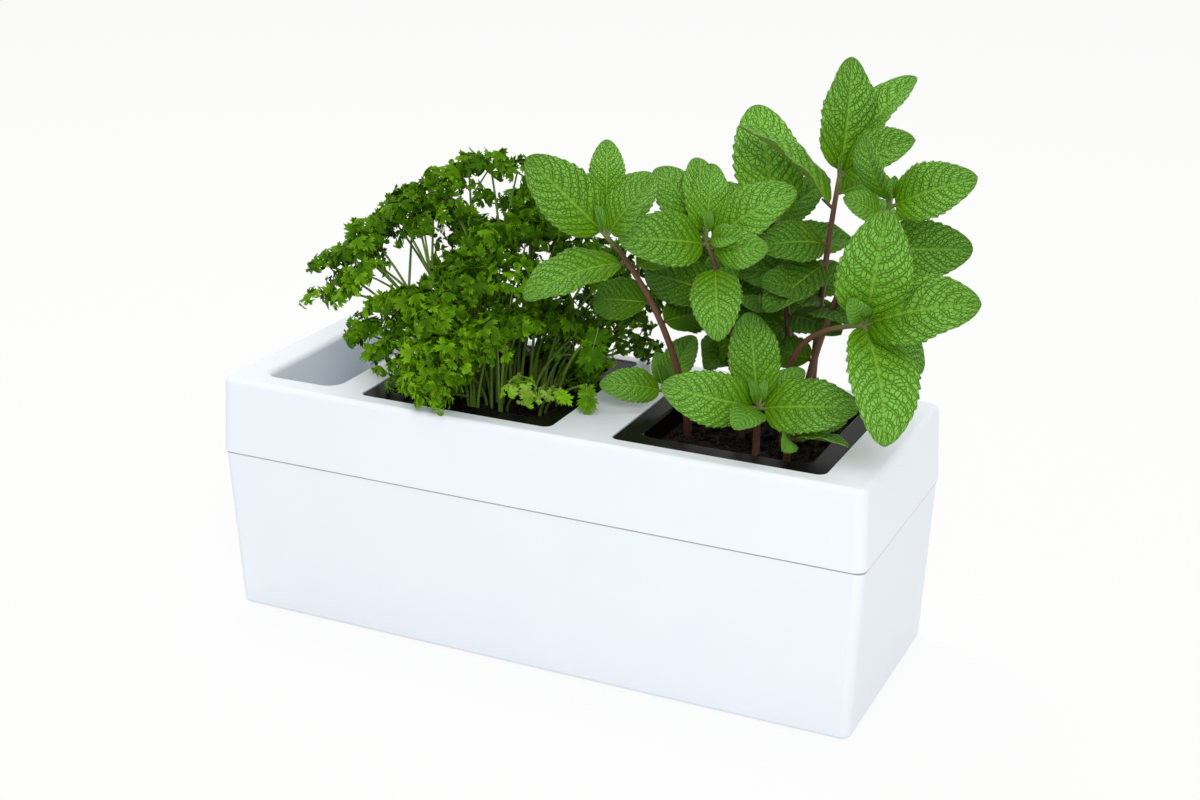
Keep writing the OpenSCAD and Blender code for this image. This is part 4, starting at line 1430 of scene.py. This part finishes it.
# %% The listed sprigs
FORK = 0.6
for sprig in SPRIGS:
    tip = sprig_point(sprig[0])
    root = inside_pot(stalk_root(tip) * 1.3 + rng.uniform(-7, 7, 3))
    fork = stalk_point(root, tip, FORK)
    draw_stalk(root, tip, 0.95, 0.45)
    young = 1.0 if len(sprig) == 1 else 0.0
    for j, leaf in enumerate(sprig):
        end, radius = sprig_point(leaf), leaf[3]
        if j:
            draw_twig(fork, end, (0, 0.25, 0.5, 0.75, 1), 0.7, 0.45, rise=5)
        fans.extend(tuft(end, radius, LEAFLETS, young))
        beside = end + unit(rng.normal(0, 1, 3) * (1, 1, 0.5) - (0, 0, 0.4)) * radius * 1.35
        draw_twig(end, beside, (0, 0.5, 1))
        fans.extend(tuft(beside, radius * 0.8, SIDE_LEAFLETS, young))
print("sprigs:", len(stalk_lines), "stalks and", len(fans), "leaflets")

# %% [markdown]
# ## Filling the plant
# More curled leaves fill the inside and the left. Short young sprigs, again set in a spiral, close
# the pot's mouth except at the front right, where the pot is half empty and a few bare upright
# stalks show instead.

# %% Filling the plant
YOUNG_SPRIGS, UPRIGHT_STALKS = 46, 8
# Curled leaves inside the crown and at the left: x, y, height above the deck and radius.
FILLING = [
    (-31, 8, 52, 10), (-28, 16, 62, 10), (-50, -25, 37, 9), (-44, -20, 28, 10), (-38, -26, 42, 9),
    (-30, -38, 4, 9), (-36, -30, 27, 10), (-14, -42, 3, 8), (-2, -40, 16, 8), (2, -36, 30, 9)]


def draw_leaves(places):
    """A stalk and a curled leaf at each place of a list."""
    for leaf in places:
        end = sprig_point(leaf)
        draw_stalk(inside_pot(stalk_root(end) * 1.3), end, 0.9, 0.5)
        fans.extend(tuft(end, leaf[3], LEAFLETS))


draw_leaves(FILLING)
for k in range(YOUNG_SPRIGS):
    a, reach = SPIRAL * k, pot_mouth * rng.uniform(0.25, 0.56)
    end = np.array([math.cos(a) * reach, math.sin(a) * reach, mix_drop + rng.uniform(2, 40)])
    size = rng.uniform(7, 10)
    if not (end[1] < 4 and end[0] > -8):
        draw_stalk(inside_pot(stalk_root(end) * 1.8), end, 0.9, 0.4)
        fans.extend(tuft(end, size, LEAFLETS))
for k in range(UPRIGHT_STALKS):
    foot = np.array([-12 + 4 * k + rng.uniform(-5, 5), rng.uniform(-30, -4), 0])
    end = foot + (rng.uniform(-14, 10), rng.uniform(-4, 14), rng.uniform(44, 66))
    draw_stalk(inside_pot(foot), end, rng.uniform(0.55, 1.0), 0.4)
    fans.extend(tuft(end, 7, SIDE_LEAFLETS))
print("filled:", len(stalk_lines), "stalks and", len(fans), "leaflets")

# %% [markdown]
# ## Open places
# The light comes through the crown in a few places. The plant is easier to fill and then thin out
# than to grow round gaps, so leaflets whose foot lies inside one of these balls are left out.

# %% Open places
# Each place: x, y, height above the deck and radius.
CLEARINGS = [
    (-2, 5, 92, 7), (6, -9, 96, 7), (-12, 20, 88, 7), (-43, -10, 58, 9), (-34, -25, 63, 9),
    (-52, 5, 53, 9)]
clear = [(sprig_point(place), place[3]) for place in CLEARINGS]
fans = [fan for fan in fans if all(math.dist(fan[0][0], centre) > radius for centre, radius in clear)]
print("thinned:", len(fans), "leaflets")

# %% [markdown]
# ## Single leaves
# A few leaves stand apart at the front and left, flat enough to show their plan: a fan at the end
# and two pairs below it. They are placed one by one, because the eye finds them at once.

# %% Single leaves
# Turn of each fan, how far back it sits and its share of the leaf's size.
LEAF_PLAN = [(0, 0.0, 1.0), (58, 0.35, 0.85), (-58, 0.35, 0.85), (72, 0.95, 0.7), (-72, 0.95, 0.7)]
# The foot's x and y, the leaf's x, y and height above the deck, then its heading, slope, size and
# youth, from below 0 for a dark old leaf to 2 for a pale young one.
SINGLE_LEAVES = [
    ((30, -20), (47, -27, 6), -20, -20, 5, 1.5),
    ((30, -14), (58, -26, 5), -60, -50, 7, 0.5),
    ((32, -6), (58, -22, 27), -95, -60, 10, -0.6),
    ((-4, -22), (-1, -36, 30), -75, -30, 11, 1.0),
    ((-24, -6), (-76, -14, 42), -150, -50, 11, 0.3),
    ((-22, -12), (-64, -28, 24), -175, -10, 10, 0.6),
    ((-22, -14), (-54, -32, 16), -165, -20, 9, 0.8)]


def flat_leaf(at, heading, slope, size, youth):
    """A leaf with its fans in one plane, as placed points and tones."""
    chord, across, face = leaf_axes(heading, slope)
    placed = []
    for turn, back, share in LEAF_PLAN:
        a = math.radians(turn + rng.uniform(-8, 8))
        way = chord * math.cos(a) + across * math.sin(a)
        tone = np.clip(fan_tone * 0.5 + 0.3 * min(youth, 1) + rng.uniform(-0.1, 0.1), 0, 1)
        tone = tone + max(youth - 1, 0)
        foot = at - chord * back * size
        placed.append(fan_at(foot, way, face, size * share, rng.uniform(0.6, 1.2), tone))
    return placed


for foot, place, heading, slope, size, youth in SINGLE_LEAVES:
    end = sprig_point(place)
    base = end - leaf_axes(heading, slope)[0] * size * 1.3
    draw_stalk(np.array([*foot, 0]), base, 0.9, 0.5)
    draw_twig(base, end, (0, 0.5, 1), 0.4, 0.15)
    fans.extend(flat_leaf(end, heading, slope, size, youth))
print(len(SINGLE_LEAVES), "single leaves")

# %% [markdown]
# ## The side towards the mint
# Behind the mint's left shoot the parsley is dense and dark. These leaves hang out over the strip
# of deck between the pots, and come last, so that nothing drawn before them changes.

# %% The side towards the mint
# Curled leaves: x, y, height above the deck and radius.
MINT_SIDE = [
    (49, 14, 66, 9), (52, 26, 55, 9), (46, 14, 50, 9), (56, 28, 44, 9), (50, 16, 36, 9),
    (58, 26, 30, 9), (62, 34, 38, 8)]
draw_leaves(MINT_SIDE)
print(len(stalk_lines), "stalks and", len(fans), "leaflets")

# %% [markdown]
# ## The parsley's stalks
# All stalks become one piece, because they never move apart. They are drawn as curves with a bevel,
# like the mint's stems, but with fewer sides, because they are thinner.

# %% The parsley's stalks
stalks = draw_tubes("parsley_plant_stalks", stalk_lines, parsley_root, 1)
bpy.ops.object.shade_smooth_by_angle(angle=math.radians(70))
finish_piece(stalks, "parsley", "parsley", "parsley_plant", coats=[parsley_stalk])

# %% [markdown]
# ## The parsley's leaves
# All leaflets become mesh at once and get a leaf's thickness from Solidify. Four pieces, one above
# the other, keep each mesh to a size that is easy to handle.

# %% The parsley's leaves
# Heights above the mix, in millimetres.
LEAF_LAYERS = {"skirt": (-20, 30), "waist": (30, 56), "middle": (56, 84), "crown": (84, 200)}
LEAFLET_THICK = 0.3 * MM


def make_leaves(name, chosen):
    points = (np.concatenate([points for points, tone in chosen]) + parsley_root) * MM
    faces = [tuple(i + k * len(fan_shape) for i in face) for k in range(len(chosen)) for face in fan_faces]
    mesh = bpy.data.meshes.new(name)
    mesh.from_pydata([tuple(p) for p in points], [], faces)
    tones = mesh.attributes.new("tone", "FLOAT", "POINT")
    tones.data.foreach_set("value", np.concatenate([tone for points, tone in chosen]).astype(np.float32))
    leaves = bpy.data.objects.new(name, mesh)
    bpy.context.scene.collection.objects.link(leaves)
    apply_modifier(leaves, "SOLIDIFY", thickness=LEAFLET_THICK, offset=0)
    bpy.ops.object.shade_smooth_by_angle(angle=math.radians(70))
    return finish_piece(leaves, "parsley", "parsley", "parsley_plant", coats=[parsley_leaf])


for layer, (low, high) in LEAF_LAYERS.items():
    make_leaves("parsley_plant_" + layer, [fan for fan in fans if low <= fan[0][0][2] < high])

# %% [markdown]
# ## The floor
# The planter stands on a plain white floor. A white floor under soft light renders grey, and more
# light would bleach the object. So the floor glows, but only for rays that come from the camera
# or by way of a shiny surface, and it still takes the planter's shadow.

# %% The floor
FLOOR_SIZE, FLOOR_GLOW = 12, 0.86


def seen_rays(tree):
    """1 for rays from the camera, also by way of something shiny or clear, and 0 for other light."""
    path = tree.nodes.new("ShaderNodeLightPath")
    seen = maths(tree, "MAXIMUM", path.outputs["Is Camera Ray"], path.outputs["Is Glossy Ray"])
    return maths(tree, "MAXIMUM", seen, path.outputs["Is Transmission Ray"])


def mix_shaders(tree, share, first, second, output):
    """Sends a mix of two shaders to the output."""
    mix = tree.nodes.new("ShaderNodeMixShader")
    for socket, value in zip(mix.inputs, (share, first.outputs[0], second.outputs[0])):
        tree.links.new(value, socket)
    tree.links.new(mix.outputs[0], tree.nodes[output].inputs["Surface"])


alone()
bpy.ops.mesh.primitive_plane_add(size=FLOOR_SIZE, location=(0, 0, 0))
floor = bpy.context.object
floor.name = "floor"
floor_paint, tree, shader = material("floor_paint", roughness=0.9, base_color=(0.82, 0.82, 0.83, 1))
glow = tree.nodes.new("ShaderNodeEmission")
glow.inputs["Color"].default_value = (1, 1, 1, 1)
mix_shaders(tree, maths(tree, "MULTIPLY", seen_rays(tree), FLOOR_GLOW), shader, glow, "Material Output")
floor.data.materials.append(floor_paint)
print("floor:", FLOOR_SIZE, "m")

# %% [markdown]
# ## World and lamps
# The light is that of a studio: soft and nearly white. The world gives most of it from all sides,
# a large lamp near the camera gives the leaves their shape, and a weaker one above lights the back.
# The backdrop shows pure white to the same rays as the floor.

# %% World and lamps
STUDIO_LIGHT = (1.0, 0.985, 0.95)
SKY_STRENGTH = 0.75
world = bpy.data.worlds.new("studio")
bpy.context.scene.world = world
world.use_nodes = True
tree = world.node_tree
sky = tree.nodes["Background"]
sky.inputs["Color"].default_value = (*STUDIO_LIGHT, 1)
sky.inputs["Strength"].default_value = SKY_STRENGTH
backdrop = tree.nodes.new("ShaderNodeBackground")
backdrop.inputs["Color"].default_value = (1, 1, 1, 1)
mix_shaders(tree, seen_rays(tree), sky, backdrop, "World Output")


def softbox(name, place, aim, size, power):
    lamp = bpy.data.objects.new(name, bpy.data.lights.new(name, "AREA"))
    bpy.context.scene.collection.objects.link(lamp)
    lamp.data.shape = "DISK"
    lamp.data.size = size
    lamp.data.energy = power
    lamp.data.color = STUDIO_LIGHT
    lamp.location = place
    lamp.rotation_euler = (Vector(aim) - Vector(place)).to_track_quat("-Z", "Y").to_euler()
    print(name, "of", power, "W")


softbox("key_lamp", (0.85, -1.35, 1.3), (0.05, 0, 0.15), 0.9, 14.5)
softbox("top_lamp", (-0.5, 0.4, 1.5), (0, 0, 0.15), 0.8, 6)
bpy.context.scene.view_settings.view_transform = "Standard"
